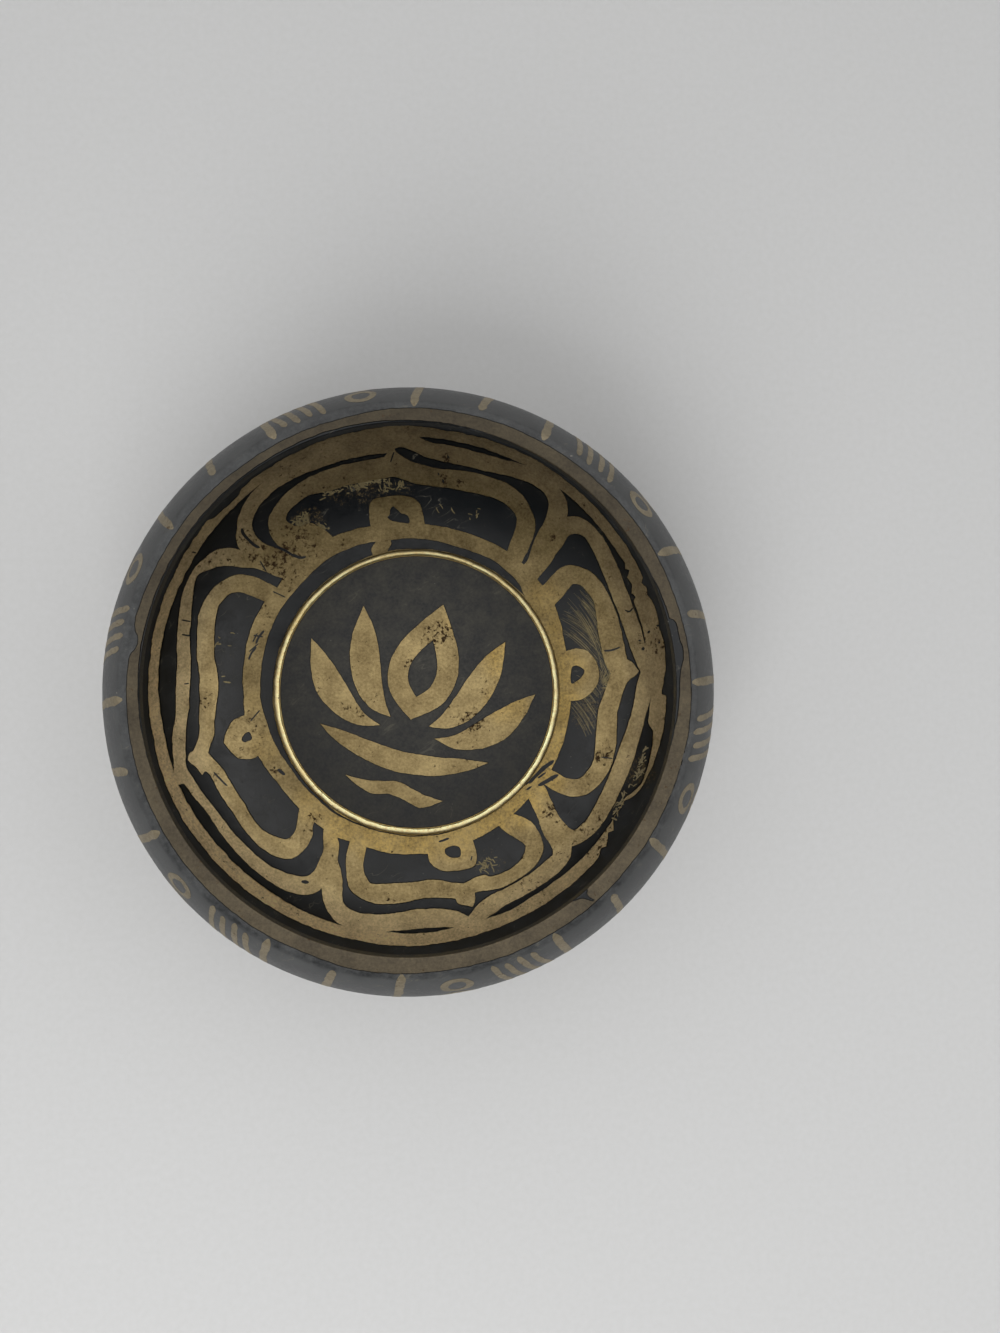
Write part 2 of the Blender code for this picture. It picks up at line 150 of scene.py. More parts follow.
FIELD_BOTTOM = [
    [(252.0, 11.5), (252.3, 15.0), (252.8, 20.0), (254.0, 24.1), (256.0, 27.9), (257.5, 28.5), (262.0, 27.0),
     (266.0, 26.0), (270.0, 25.2), (274.0, 24.4), (277.0, 25.4), (280.0, 27.2)],
    [(283.7, 29.3), (287.0, 28.0), (290.0, 28.2), (291.6, 30.1), (295.0, 31.2), (298.0, 31.1), (301.5, 29.8),
     (304.0, 27.2), (305.0, 24.3), (304.3, 20.6), (303.2, 17.0), (302.1, 13.4)],
    [(301.3, 8.9), (296.0, 9.1), (290.0, 9.7), (282.0, 10.4), (273.8, 11.2), (270.0, 11.0), (262.0, 11.7)],
]
EYE_LINE_RIGHT = [
    [(375.2, 5.0), (375.3, 12.0), (374.4, 16.3), (372.8, 19.2), (370.0, 21.7), (366.0, 22.8), (362.5, 21.4),
     (360.0, 18.8), (358.5, 15.8), (357.0, 12.4)],
    [(356.2, 5.0)],
]
EYE_LINE_TOP = [
    [(105.9, 12.0), (105.8, 19.4), (105.3, 23.4), (104.4, 27.6), (103.0, 29.7), (100.0, 29.9), (95.0, 29.7),
     (91.4, 28.0), (89.4, 24.4), (88.3, 19.0)],
    [(87.5, 12.0)],
]
EYE_LINE_LEFT = [
    [(201.8, 12.0), (202.3, 17.6), (201.7, 21.2), (200.6, 24.8), (199.0, 26.0), (196.8, 28.0)],
    [(195.0, 29.2), (193.3, 28.0), (191.7, 26.1), (189.6, 23.2), (188.5, 20.3), (188.0, 16.6)],
    [(188.0, 12.0)],
]
EYE_LINE_BOTTOM = [
    [(290.5, 7.0), (290.4, 13.6), (289.9, 18.0), (288.5, 21.5), (286.2, 22.6), (282.0, 21.8), (278.0, 20.5),
     (275.5, 17.8), (274.0, 14.4)],
    [(273.7, 7.0)],
]
EYE_RIGHT = [
    [(363.1, 7.7), (363.6, 10.4), (364.7, 12.8), (366.7, 15.1), (368.3, 13.7), (369.3, 11.0), (368.4, 8.6)],
]
EYE_TOP = [
    [(93.1, 15.3), (93.3, 19.0), (95.4, 20.5), (96.6, 22.6), (97.6, 24.4), (98.6, 23.2), (99.0, 20.8),
     (99.9, 19.4), (99.0, 17.4), (97.2, 16.1)],
]
EYE_LEFT = [
    [(193.7, 15.7), (193.8, 18.0), (195.0, 20.0), (196.4, 19.8), (196.6, 17.2), (196.1, 15.2)],
]
EYE_BOTTOM = [
    [(280.0, 10.2), (280.1, 13.0), (282.0, 15.1), (284.5, 15.6), (285.3, 12.8), (284.9, 10.4), (283.2, 9.2)],
]
CHANNEL_RIGHT = [
    [(323.6, 8.2), (322.6, 12.0), (321.0, 16.6), (319.5, 21.2), (318.7, 25.0), (318.2, 30.0), (318.0, 33.8),
     (318.5, 36.3), (320.0, 37.6), (323.0, 38.2), (326.0, 37.9), (330.0, 37.3), (334.0, 37.0), (339.0, 36.9),
     (345.0, 37.4), (350.0, 38.9), (354.0, 40.2), (357.0, 41.4), (360.0, 42.3), (362.8, 43.8)],
    [(365.0, 45.9), (366.5, 44.4), (368.5, 43.0), (372.0, 41.8), (376.0, 41.1), (380.0, 40.9), (385.0, 41.3),
     (390.0, 42.5), (395.0, 44.5), (399.0, 46.5), (402.5, 47.7), (404.4, 46.4), (405.5, 43.4), (405.8, 40.0),
     (405.3, 35.0), (404.8, 29.0), (404.0, 22.2)],
    [(403.3, 13.2)],
    [(400.4, 13.1), (400.7, 18.2), (401.0, 23.6), (400.6, 28.0), (399.5, 31.5), (397.5, 34.7), (395.0, 37.5),
     (392.5, 39.2), (390.0, 39.9), (385.0, 40.0), (380.0, 39.6), (375.0, 38.9), (371.0, 38.6)],
    [(368.8, 38.6), (367.5, 41.6)],
    [(365.2, 44.8), (364.0, 42.4), (363.4, 39.6), (362.0, 36.9), (360.0, 35.2), (355.0, 32.6), (352.0, 32.8),
     (348.0, 33.8), (345.0, 34.8), (342.0, 35.4), (339.5, 35.9), (336.0, 35.4), (333.0, 34.1), (330.0, 31.9),
     (328.0, 29.5), (326.5, 26.4), (325.2, 23.0), (324.4, 18.2), (323.9, 13.2)],
]
CHANNEL_TOP = [
    [(50.1, 13.8), (50.3, 17.5), (51.2, 21.0), (52.4, 26.8), (53.0, 32.6), (53.3, 38.6), (54.0, 43.8),
     (55.0, 48.5), (56.5, 51.6), (58.6, 53.2), (61.0, 53.5), (64.0, 52.6), (68.0, 50.9), (72.0, 49.4),
     (77.0, 48.9), (82.0, 49.1), (86.0, 50.1), (88.5, 51.7), (90.0, 53.3), (92.0, 55.8)],
    [(93.7, 57.4), (95.3, 56.6)],
    [(95.0, 54.1), (93.5, 51.2), (91.6, 48.4), (90.0, 47.2), (88.5, 46.1), (85.0, 44.9), (82.0, 45.1),
     (78.0, 45.9), (74.0, 46.5), (70.0, 46.7), (67.0, 46.9), (64.0, 45.9), (61.0, 43.7), (58.8, 40.9),
     (56.5, 37.7), (54.6, 33.7), (53.4, 28.9), (52.7, 24.1), (51.9, 19.6)],
    [(51.3, 13.9)],
]
CHANNEL_TOP_END = [
    [(97.2, 54.2), (100.0, 54.6), (105.0, 55.0), (110.0, 55.3), (115.0, 55.9), (120.0, 56.8), (125.0, 56.9),
     (129.0, 55.6), (132.0, 53.4), (134.2, 50.6), (135.6, 47.0), (136.2, 42.6), (136.0, 37.0), (135.0, 32.3),
     (133.9, 27.5), (132.9, 22.5)],
    [(131.8, 18.9)],
    [(131.3, 19.2), (132.1, 22.0), (133.0, 27.2), (133.7, 31.0), (133.5, 35.6), (132.6, 40.9), (131.0, 45.0),
     (129.0, 47.8), (125.5, 50.3), (121.5, 52.2), (117.0, 53.1), (112.0, 53.1), (107.0, 52.3), (101.0, 51.8)],
    [(98.0, 52.2)],
]
CHANNEL_LEFT = [
    [(140.1, 18.3), (141.0, 21.6), (142.0, 27.4), (143.1, 32.7), (144.9, 38.0), (146.1, 43.0), (147.6, 47.6),
     (149.5, 51.7), (151.1, 54.6), (152.6, 56.7), (154.5, 55.8), (157.0, 53.8), (160.5, 51.1), (163.0, 49.3),
     (167.0, 47.5), (171.0, 45.0), (174.0, 44.0), (177.0, 43.6), (180.0, 43.8), (184.0, 44.3), (187.5, 46.1),
     (191.0, 48.0), (194.5, 49.9)],
    [(196.6, 51.2), (198.5, 51.9), (200.5, 51.0), (203.0, 49.8), (207.0, 48.4), (210.0, 47.0), (214.0, 46.3),
     (219.0, 45.8), (224.0, 45.0), (229.0, 44.5), (233.0, 42.8), (236.5, 40.6), (239.4, 37.5), (240.3, 33.9),
     (240.3, 30.0), (240.0, 24.6), (239.2, 20.5), (237.6, 16.8)],
    [(236.0, 12.7)],
    [(232.0, 12.3), (232.6, 15.0), (234.0, 17.8), (234.6, 21.8), (234.8, 25.6), (234.3, 30.4), (233.3, 34.1),
     (231.5, 36.8), (228.5, 38.9), (225.0, 40.1), (220.0, 40.3), (215.0, 39.8), (210.0, 40.2), (205.5, 40.6)],
    [(202.6, 41.0), (201.0, 42.6)],
    [(201.6, 45.0), (199.6, 46.5), (198.1, 48.4)],
    [(197.0, 50.1), (195.6, 48.3), (195.2, 45.7), (193.5, 43.0), (191.5, 40.8), (189.0, 39.5), (186.0, 39.1),
     (182.5, 38.2), (180.0, 38.6), (176.0, 38.8), (172.0, 40.9), (167.5, 43.0), (163.0, 45.2), (161.0, 46.3),
     (157.5, 46.5), (154.0, 45.5), (151.0, 43.1), (148.5, 40.0), (146.9, 37.0), (145.6, 32.8), (144.7, 27.8),
     (144.1, 22.0)],
    [(143.6, 17.2)],
]
CHANNEL_BOTTOM = [
    [(241.5, 12.8), (243.0, 15.2), (244.0, 18.6), (245.0, 22.8), (247.0, 26.7), (248.5, 30.7), (249.5, 35.0),
     (250.2, 39.3), (251.2, 42.5), (253.0, 44.6), (255.5, 45.3), (259.0, 44.6), (263.0, 43.1), (267.0, 41.1),
     (270.0, 39.7), (273.0, 39.6), (276.0, 40.2), (279.2, 41.9), (281.5, 44.7)],
    [(283.0, 47.7), (284.5, 44.8), (286.2, 42.2), (288.5, 40.4), (291.0, 39.5), (295.0, 39.2), (300.0, 38.9),
     (305.0, 38.4)],
    [(309.6, 37.9), (310.4, 36.0), (311.0, 32.7), (311.3, 28.6), (311.6, 25.2), (312.4, 22.2), (313.5, 18.5),
     (314.6, 13.6)],
    [(316.0, 7.6)],
    [(308.0, 8.2), (309.8, 12.0), (311.0, 16.6), (311.0, 21.0), (310.6, 25.0), (310.0, 28.0), (309.0, 31.4),
     (307.0, 34.3), (305.0, 36.2), (302.0, 37.4), (298.0, 38.0), (293.0, 38.1), (290.0, 36.8), (288.0, 35.9)],
    [(286.0, 35.6), (285.6, 39.6)],
    [(284.6, 42.6), (282.6, 40.6), (281.1, 39.0)],
    [(280.6, 36.2), (278.5, 35.2), (276.0, 34.2), (273.0, 33.9), (270.0, 34.5), (266.0, 36.3), (262.0, 37.8),
     (259.0, 38.4), (256.0, 37.7), (253.0, 35.9), (251.0, 33.4), (249.8, 30.0), (248.5, 25.5), (247.1, 20.2),
     (246.3, 14.4)],
    [(245.8, 11.7)],
]
SPANDREL_RIGHT_TOP = [
    [(31.6, 58.7), (35.0, 58.5), (40.0, 59.0), (45.0, 59.6), (50.0, 60.2)],
    [(55.0, 60.9), (53.5, 59.3), (52.2, 57.3), (51.0, 54.5), (50.0, 51.8)],
    [(49.4, 49.3), (48.5, 51.6), (47.3, 54.0), (45.5, 55.7), (43.5, 56.5), (40.0, 56.6), (36.5, 55.3),
     (33.0, 53.8), (28.0, 51.7), (22.0, 50.5), (15.0, 50.7)],
    [(11.0, 50.9), (13.5, 51.7), (18.0, 51.9)],
    [(22.6, 52.3)],
    [(23.3, 54.3)],
    [(24.6, 53.0)],
    [(26.6, 56.0)],
    [(28.4, 55.2)],
    [(29.6, 59.0)],
    [(30.4, 56.6)],
]
SLIVER_TOP = [
    [(63.8, 62.9), (68.0, 62.4), (74.0, 63.0), (80.0, 63.4), (86.0, 64.0)],
    [(89.6, 64.6), (88.0, 61.8), (86.0, 60.4), (81.0, 59.9), (76.0, 59.4), (70.0, 60.1), (66.8, 61.5)],
]
SPANDREL_TOP_LEFT = [
    [(126.4, 65.8), (131.0, 65.3), (137.0, 65.0), (143.0, 64.9), (150.0, 64.2), (157.0, 63.9), (164.0, 63.6),
     (172.0, 63.0), (180.0, 62.2), (185.0, 61.0), (190.0, 60.3), (195.0, 60.2)],
    [(198.6, 60.4), (196.5, 58.4), (194.0, 57.2), (191.0, 55.9), (189.0, 54.4), (187.0, 52.7), (184.0, 51.7),
     (180.0, 51.3), (177.0, 51.3), (173.0, 51.9), (170.0, 53.2), (166.5, 54.9), (163.0, 57.0), (159.5, 59.0),
     (156.0, 60.4), (152.5, 60.7), (150.0, 60.0), (148.5, 58.7), (146.5, 56.9), (144.5, 54.3), (143.0, 50.9),
     (142.0, 47.3)],
    [(141.5, 44.1), (141.0, 46.6), (140.0, 50.0), (138.3, 53.4), (136.5, 57.0), (134.5, 60.0), (132.0, 62.8),
     (129.5, 64.6)],
]
SPANDREL_LEFT_BOTTOM = [
    [(201.8, 60.3), (206.0, 59.6), (211.0, 58.8), (217.0, 57.8), (224.0, 57.0), (231.0, 56.3), (238.0, 55.9),
     (245.0, 55.6)],
    [(253.0, 55.0), (250.6, 53.6), (249.0, 51.0), (247.5, 48.1), (246.0, 44.6)],
    [(244.4, 39.5), (243.8, 42.0), (242.5, 45.0), (241.0, 47.4), (238.5, 49.4), (235.0, 50.7), (231.0, 51.6),
     (226.0, 51.7), (220.0, 51.8), (214.0, 51.8), (210.0, 52.0), (207.0, 53.7), (204.5, 55.1)],
    [(202.0, 56.6)],
]
SLIVER_BOTTOM = [
    [(262.6, 53.8), (266.0, 53.6), (270.0, 53.7), (274.0, 53.4)],
    [(279.2, 52.3), (276.0, 50.9), (272.0, 50.7), (268.0, 51.3)],
]
SPANDREL_BOTTOM_RIGHT = [
    [(287.0, 51.8), (290.0, 51.9)],
    [(293.0, 52.4), (297.0, 51.3), (300.0, 51.0), (307.0, 50.8), (314.0, 51.2), (320.0, 51.1)],
    [(327.2, 51.0), (332.0, 51.0)],
    [(333.0, 51.2), (334.6, 53.6)],
    [(336.6, 56.4), (339.5, 57.3), (343.0, 56.9), (347.0, 56.2)],
    [(350.4, 55.0), (351.4, 52.4)],
    [(352.6, 50.9), (356.0, 51.2)],
    [(358.4, 52.0), (355.0, 49.5), (351.0, 48.0), (346.0, 47.1), (340.0, 46.8), (333.0, 46.5), (327.0, 47.0),
     (322.0, 46.7), (319.0, 45.6), (316.5, 43.6)],
    [(315.0, 41.7), (313.8, 43.6), (312.5, 45.9), (310.5, 47.1), (306.0, 47.9), (300.0, 48.0), (295.0, 48.0),
     (292.0, 48.5), (289.5, 50.0)],
]
RIM_CHANNEL_FOOT = [
    [(0.0, 59.0), (3.0, 60.6), (6.0, 62.6), (9.0, 63.5), (12.0, 63.6)],
    [(15.0, 62.6)],
    [(16.2, 64.0), (20.0, 64.2)],
    [(22.6, 62.4)],
    [(24.0, 64.6)],
    [(25.6, 62.0)],
    [(26.6, 65.0), (30.0, 65.6), (35.0, 66.3), (40.0, 66.6), (47.0, 67.5), (53.0, 68.3), (58.0, 68.8),
     (63.0, 70.0), (70.0, 70.1), (78.0, 70.6), (85.0, 70.9), (90.0, 72.3), (97.0, 73.2), (104.0, 73.0),
     (112.0, 72.9), (120.0, 72.5), (128.0, 72.0)],
    [(131.0, 71.0), (133.0, 69.2), (136.0, 68.9), (139.0, 69.6)],
    [(141.0, 72.6), (148.0, 71.7), (155.0, 71.1), (163.0, 70.7), (172.0, 69.8), (180.0, 69.1), (184.0, 69.1),
     (190.0, 68.1), (196.0, 68.4), (202.0, 68.0), (208.0, 67.5), (215.0, 66.5), (222.0, 65.6), (230.0, 64.9),
     (238.0, 64.0), (246.0, 63.1), (252.0, 62.7), (258.0, 62.0), (265.0, 62.2), (270.0, 62.1), (276.0, 61.1),
     (283.0, 60.3), (290.0, 59.7), (297.0, 59.5), (304.0, 59.1), (312.0, 59.0)],
    [(317.6, 58.4)],
    [(319.4, 55.8)],
    [(320.6, 57.6)],
    [(323.4, 53.4)],
    [(324.6, 55.4)],
    [(326.8, 51.2), (329.0, 51.2)],
    [(332.2, 51.4)],
    [(333.4, 54.4), (336.0, 57.6), (339.0, 58.8), (341.0, 59.6), (344.0, 60.3), (348.0, 61.1), (352.0, 61.9),
     (356.0, 62.1)],
    [(358.8, 61.8)],
    [(359.2, 58.6)],
]
COLLAR_RIGHT = [
    [(41.6, 2.6), (44.0, 3.4), (47.0, 4.9), (53.0, 5.8), (60.0, 6.6), (67.0, 6.1), (75.0, 5.9), (82.0, 6.6),
     (90.0, 7.2), (96.0, 7.7)],
    [(100.2, 7.6), (100.4, 5.4)],
    [(102.4, 2.3), (95.0, 2.0), (85.0, 1.9), (75.0, 1.9), (60.0, 1.9), (50.0, 2.0)],
]
COLLAR_LEFT = [
    [(105.6, 8.3), (112.0, 9.5), (120.0, 10.1), (126.0, 10.3), (133.0, 9.6), (140.0, 9.4), (148.0, 9.6),
     (158.0, 9.5), (165.0, 8.9), (172.0, 8.5), (180.0, 8.1), (185.0, 7.8), (190.0, 6.6), (197.0, 5.7),
     (203.0, 4.8), (208.0, 4.0), (213.0, 3.4), (220.0, 3.3), (228.0, 2.9), (235.0, 3.3), (240.0, 3.0),
     (247.0, 2.5), (255.0, 2.3), (263.0, 2.3), (272.0, 2.4), (280.0, 2.2), (290.0, 1.9)],
    [(300.0, 1.8), (290.0, 1.6), (280.0, 1.7), (268.0, 1.8), (255.0, 1.7), (245.0, 1.8), (238.0, 2.2),
     (230.0, 1.7), (222.0, 1.6), (214.0, 1.7), (206.0, 1.8), (195.0, 1.8), (180.0, 1.8), (165.0, 1.8),
     (150.0, 1.8), (135.0, 1.9), (120.0, 1.9)],
    [(108.2, 2.2), (108.0, 5.6)],
]

# The lotus on the floor, in shares of its reach, before it is turned
LOTUS_REACH = 22.0 * MM
LOTUS_TURN = -14.0
LOTUS_STEP = 0.02
LOTUS_HEART = [
    [(0.03, 0.78), (-0.12, 0.58), (-0.25, 0.36), (-0.29, 0.14), (-0.22, -0.07)],
    [(0.00, -0.25), (0.22, -0.07), (0.30, 0.16), (0.26, 0.40), (0.15, 0.60)],
]
LOTUS_HEART_CORE = [
    [(0.02, 0.46), (-0.07, 0.33), (-0.12, 0.19), (-0.09, 0.05)],
    [(0.00, -0.05), (0.09, 0.05), (0.12, 0.20), (0.08, 0.34)],
]
LOTUS_SIDE_PETAL = [
    [(0.17, -0.27), (0.34, -0.24), (0.50, -0.12), (0.62, 0.10), (0.66, 0.34)],
    [(0.63, 0.60), (0.50, 0.44), (0.40, 0.24), (0.33, 0.04), (0.26, -0.13)],
]
LOTUS_OUTER_PETAL = [
    [(0.24, -0.36), (0.44, -0.40), (0.66, -0.34), (0.84, -0.20), (0.94, 0.00)],
    [(0.99, 0.22), (0.84, 0.12), (0.70, 0.00), (0.54, -0.16), (0.40, -0.29)],
]
LOTUS_CUP = [
    [(-0.74, -0.47), (-0.56, -0.58), (-0.30, -0.67), (0.00, -0.71), (0.30, -0.67), (0.56, -0.57)],
    [(0.74, -0.45), (0.52, -0.47), (0.28, -0.51), (0.00, -0.53), (-0.28, -0.51), (-0.52, -0.48)],
]
LOTUS_WAVE = [
    [(-0.42, -0.84), (-0.30, -0.90), (-0.16, -0.94), (-0.02, -0.91), (0.12, -0.93), (0.27, -0.96)],
    [(0.44, -0.86), (0.30, -0.85), (0.16, -0.82), (0.02, -0.79), (-0.12, -0.82), (-0.26, -0.84)],
]

# The rim: the hand-drawn outer edge of its brass land in (azimuth, mm from the axis), and the patches of lac
# that run over its inner edge
LAND_EDGE = [
    (0.0, 42.35), (10.0, 42.3), (20.0, 42.2), (30.0, 42.25), (40.0, 42.2), (50.0, 42.1), (60.0, 42.1),
    (70.0, 42.2), (80.0, 42.2), (88.0, 42.25), (96.0, 42.15), (103.0, 41.85), (110.0, 41.8),
    (120.0, 41.75), (127.0, 41.65), (134.0, 41.75), (142.0, 41.85), (150.0, 41.8), (160.0, 41.85),
    (166.5, 41.9), (168.4, 41.6), (169.6, 41.0), (171.2, 40.85), (172.6, 41.2), (174.2, 41.75),
    (180.0, 41.85), (190.0, 41.95), (200.0, 42.0), (210.0, 42.05), (220.0, 42.1), (230.0, 42.1),
    (240.0, 42.15), (250.0, 42.1), (256.0, 42.4), (265.0, 42.45), (273.0, 42.35), (281.0, 42.3),
    (290.0, 42.4), (300.0, 42.35), (310.0, 42.4), (320.0, 42.3), (327.0, 42.4), (335.0, 42.3),
    (343.0, 42.3), (351.0, 42.4), (360.0, 42.35),
]
RIM_PATCHES = [
    [[(346.0, 40.15), (352.0, 40.4), (357.0, 40.6), (361.0, 40.7), (364.0, 41.0)],
     [(366.0, 41.55), (368.5, 41.6), (370.0, 41.35), (374.0, 41.3)],
     [(375.0, 40.6), (380.0, 40.45), (385.0, 40.3)],
     [(390.0, 40.15), (390.0, 39.0)],
     [(380.0, 39.0), (368.0, 39.0), (357.0, 39.0)],
     [(346.0, 39.0)]],
    [[(66.0, 40.15), (75.0, 40.25), (82.0, 40.35), (90.0, 40.45), (100.0, 40.55), (110.0, 40.6),
      (120.0, 40.5), (135.0, 40.42), (150.0, 40.4), (170.0, 40.4), (180.0, 40.35), (190.0, 40.2)],
     [(197.0, 40.15)],
     [(197.0, 39.0), (180.0, 39.0), (160.0, 39.0), (140.0, 39.0), (120.0, 39.0), (100.0, 39.0), (80.0, 39.0)],
     [(66.0, 39.0)]],
    [[(306.4, 39.0), (307.0, 40.2), (308.6, 40.7), (309.5, 41.4)],
     [(310.2, 42.1), (310.7, 42.1)],
     [(310.2, 41.3), (310.3, 40.6), (311.0, 40.2)],
     [(311.6, 39.0)]],
]

# A degree of climb in mm, and slips and cracks of lac on the brass: a path of (azimuth, climb) and a width
# in mm
CLIMB_MM = math.radians(1) * 21.0
LAC_SLIPS = [
    ([(158.4, 12.2), (161.4, 13.6), (164.0, 13.9)], 0.40),
    ([(164.6, 13.2), (167.2, 14.8), (169.8, 15.4)], 0.36),
    ([(160.0, 14.8), (163.8, 15.7)], 0.22),
    ([(161.2, 16.3), (160.6, 11.3)], 0.30),
    ([(163.3, 12.6), (167.0, 16.2)], 0.22),
    ([(163.3, 54.7), (163.0, 49.1)], 0.28),
    ([(166.6, 52.3), (166.4, 46.8)], 0.32),
    ([(178.4, 46.9), (178.2, 43.8)], 0.25),
    ([(148.4, 68.0), (148.0, 64.6)], 0.25),
    ([(137.2, 52.0), (138.0, 48.2), (138.2, 40.6), (137.7, 37.0)], 0.60),
    ([(140.4, 32.5), (141.7, 26.3)], 0.25),
    ([(145.4, 17.9), (144.6, 10.8)], 0.25),
    ([(132.5, 23.1), (131.3, 19.2), (129.4, 17.6)], 0.50),
    ([(209.2, 9.2), (212.7, 7.4)], 0.55),
    ([(190.2, 14.0), (186.8, 8.5)], 0.28),
    ([(201.9, 38.9), (207.0, 35.1)], 0.35),
    ([(320.4, 2.4), (327.3, 3.8), (333.4, 7.2)], 0.75),
    ([(322.0, 7.0), (325.8, 9.8), (329.6, 12.8)], 0.70),
    ([(324.2, 4.6), (328.0, 6.6)], 0.36),
    ([(317.8, 3.8), (320.6, 4.8)], 0.45),
    ([(326.4, 11.8), (327.8, 9.2)], 0.40),
    ([(319.1, 1.9), (323.4, 2.6)], 0.30),
    ([(12.3, 27.1), (12.0, 31.1), (12.3, 36.4)], 0.35),
    ([(21.4, 45.1), (20.6, 47.4), (21.2, 50.6)], 0.30),
    ([(10.5, 48.2), (10.8, 50.6)], 0.75),
    ([(14.1, 54.2), (14.5, 56.6)], 0.60),
    ([(15.2, 61.4), (15.0, 63.6)], 0.50),
    ([(12.9, 47.4), (12.6, 49.4)], 0.45),
    ([(11.1, 59.8), (11.4, 61.8)], 0.50),
    ([(340.3, 29.0), (341.0, 35.5)], 0.22),
    ([(239.0, 41.4), (241.0, 39.4)], 0.75),
    ([(278.1, 5.9), (282.6, 5.1)], 0.40),
    ([(287.6, 19.0), (288.6, 16.6)], 0.30),
    ([(51.0, 14.9), (51.8, 20.0)], 0.45),
    ([(95.6, 54.5), (96.8, 48.2)], 0.26),
    ([(82.4, 51.6), (82.8, 54.0)], 0.36),
    ([(83.0, 37.2), (83.4, 39.6)], 0.40),
    ([(84.4, 41.0), (84.8, 43.0)], 0.30),
]

# Bundles of scratches from (azimuth, climb) to (azimuth, climb): the hairs in each, how far they spread and
# bow in degrees, and their widths in mm
SCRATCHES = [
    (34.0, 20.0, 8.0, 27.0), (32.0, 27.0, 21.0, 31.0), (27.0, 10.5, 10.0, 26.0), (5.5, 9.5, 357.0, 23.0),
    (358.0, 7.8, 347.5, 22.0), (8.5, 22.5, 1.0, 26.0),
]
SCRATCH_HAIRS = 26
SCRATCH_SEED = 7
SCRATCH_AZIMUTH = 3.4
SCRATCH_CLIMB = 2.6
SCRATCH_BOW = 6
SCRATCH_WIDTH = (0.03, 0.075)

# Feathery flakes where the lac has come off: azimuth, climb, half widths in degrees, how many. A flake heads
# up the wall at an angle of so many degrees and a spread, and has a length in steps of azimuth and climb
FLAKES = [
    (112.0, 40.0, 4.0, 2.2, 34), (106.5, 38.0, 3.6, 2.4, 40), (101.0, 39.0, 3.4, 1.6, 34),
    (97.0, 34.5, 4.2, 3.0, 34), (124.0, 32.5, 2.4, 3.6, 54), (120.5, 24.5, 2.2, 3.0, 36),
    (291.5, 23.0, 4.0, 3.6, 28), (3.0, 25.0, 3.0, 2.0, 18), (341.0, 51.5, 6.0, 2.4, 44),
    (330.0, 49.0, 4.0, 2.0, 26), (171.0, 27.0, 9.0, 8.0, 8), (75.0, 25.0, 9.0, 6.0, 9),
]
FLAKE_SEED = 11
FLAKE_HEADING = (55, 38)
FLAKE_LENGTH = (0.4, 1.5)
FLAKE_BEND = 0.5
FLAKE_AZIMUTH = 1.45
FLAKE_CLIMB = 2.6
FLAKE_WIDTH = (0.12, 0.34)

# The outer ornament, in azimuths and mm below the rim along the wall: a bar has an azimuth, a top, a foot and
# a lean, a ring a middle and a half width in degrees, and the leaf's midrib an azimuth, a top and a foot
FRIEZE_REPEATS = 6
FRIEZE_BARS = [(1.0, 0.3, 21.0, 1.6), (15.0, 1.4, 13.0, -1.2), (28.5, 0.3, 21.0, -2.0)]
FRIEZE_RINGS = [(39.0, 5.4, 2.5), (14.2, 17.4, 2.7)]
FRIEZE_LEAF = [(39.0, 10.2), (35.2, 15.6), (39.0, 21.4), (42.8, 15.6), (39.0, 10.2)]
FRIEZE_MIDRIB = (39.0, 12.4, 19.2)
FRIEZE_SLANTS = [(46.5, 1.2), (49.2, 1.7), (51.9, 1.2), (54.6, 1.7)]
SLANT_LEAN = 3.0
SLANT_LENGTH = 12.0
FRIEZE_ARCH = [(46.0, 20.6), (48.5, 18.2), (52.0, 17.2), (55.5, 18.2), (58.0, 20.6)]
WAVE_DOWN = 24.3
WAVE_SWING = 0.6
WAVES = 24
BROAD_BRUSH = 1.3
RING_BRUSH = 1.15
FINE_BRUSH = 1.0

# The ring of petals above the base: an arch in shares of its half width and rise, drawn twice in each petal
# with a half width in degrees, a drop of its tip and a brush in mm
FOOT_PETALS = 16
FOOT_TOP_ABOVE_BASE = 29.0
FOOT_LOW_ABOVE_BASE = 6.3
FOOT_ARCH = [(-1, 0), (-1, 0.35), (-0.74, 0.72), (0, 1), (0.74, 0.72), (1, 0.35), (1, 0)]
FOOT_ARCHES = [(9.8, 1.6, 1.4), (5.0, 7.5, 1.1)]

# How thick strokes are below their face, and how far slips lie above the brass and rubbed marks above the lac
ORNAMENT_THICKNESS = 0.15 * MM
SLIP_THICKNESS = 0.05 * MM
MARK_THICKNESS = 0.03 * MM
SLIP_LIFT = 0.012 * MM
MARK_LIFT = 0.01 * MM - LAC_RECESS

# How far pockets reach out of the metal, and the heights over which outlines cut the wall and the rim
POCKET_REACH = 0.5 * MM
WALL_SPAN = (0, BELLY_HEIGHT)
RIM_SPAN = (BELLY_HEIGHT, BOWL_HEIGHT + 2 * POCKET_REACH)

# The table and its sweep, the light and the flag in metres, and the camera in mm and radians, fitted to the
# circles of the bowl
SWEEP_START = 1.7
SWEEP_RADIUS = 0.7
TABLE_EDGE = 2.5
TABLE_THICKNESS = 0.1
BACKDROP_TOP = 2.2
BACKDROP_FROM = 0.2
BACKDROP_FULL = 0.7
AMBIENT = 0.14
LAMP_AIM = (0, 0, 0.02)
FLAG_PLACE = (0, -0.62, 0.5)
FLAG_TILT = 50
FLAG_SIZE = (1.5, 0.9, 1)
CAMERA_PLACE = (3.96, -3.22, 193.44)
CAMERA_LENS = 27.03
CAMERA_LEAN = 0.0612
CAMERA_NOD = 0.0419

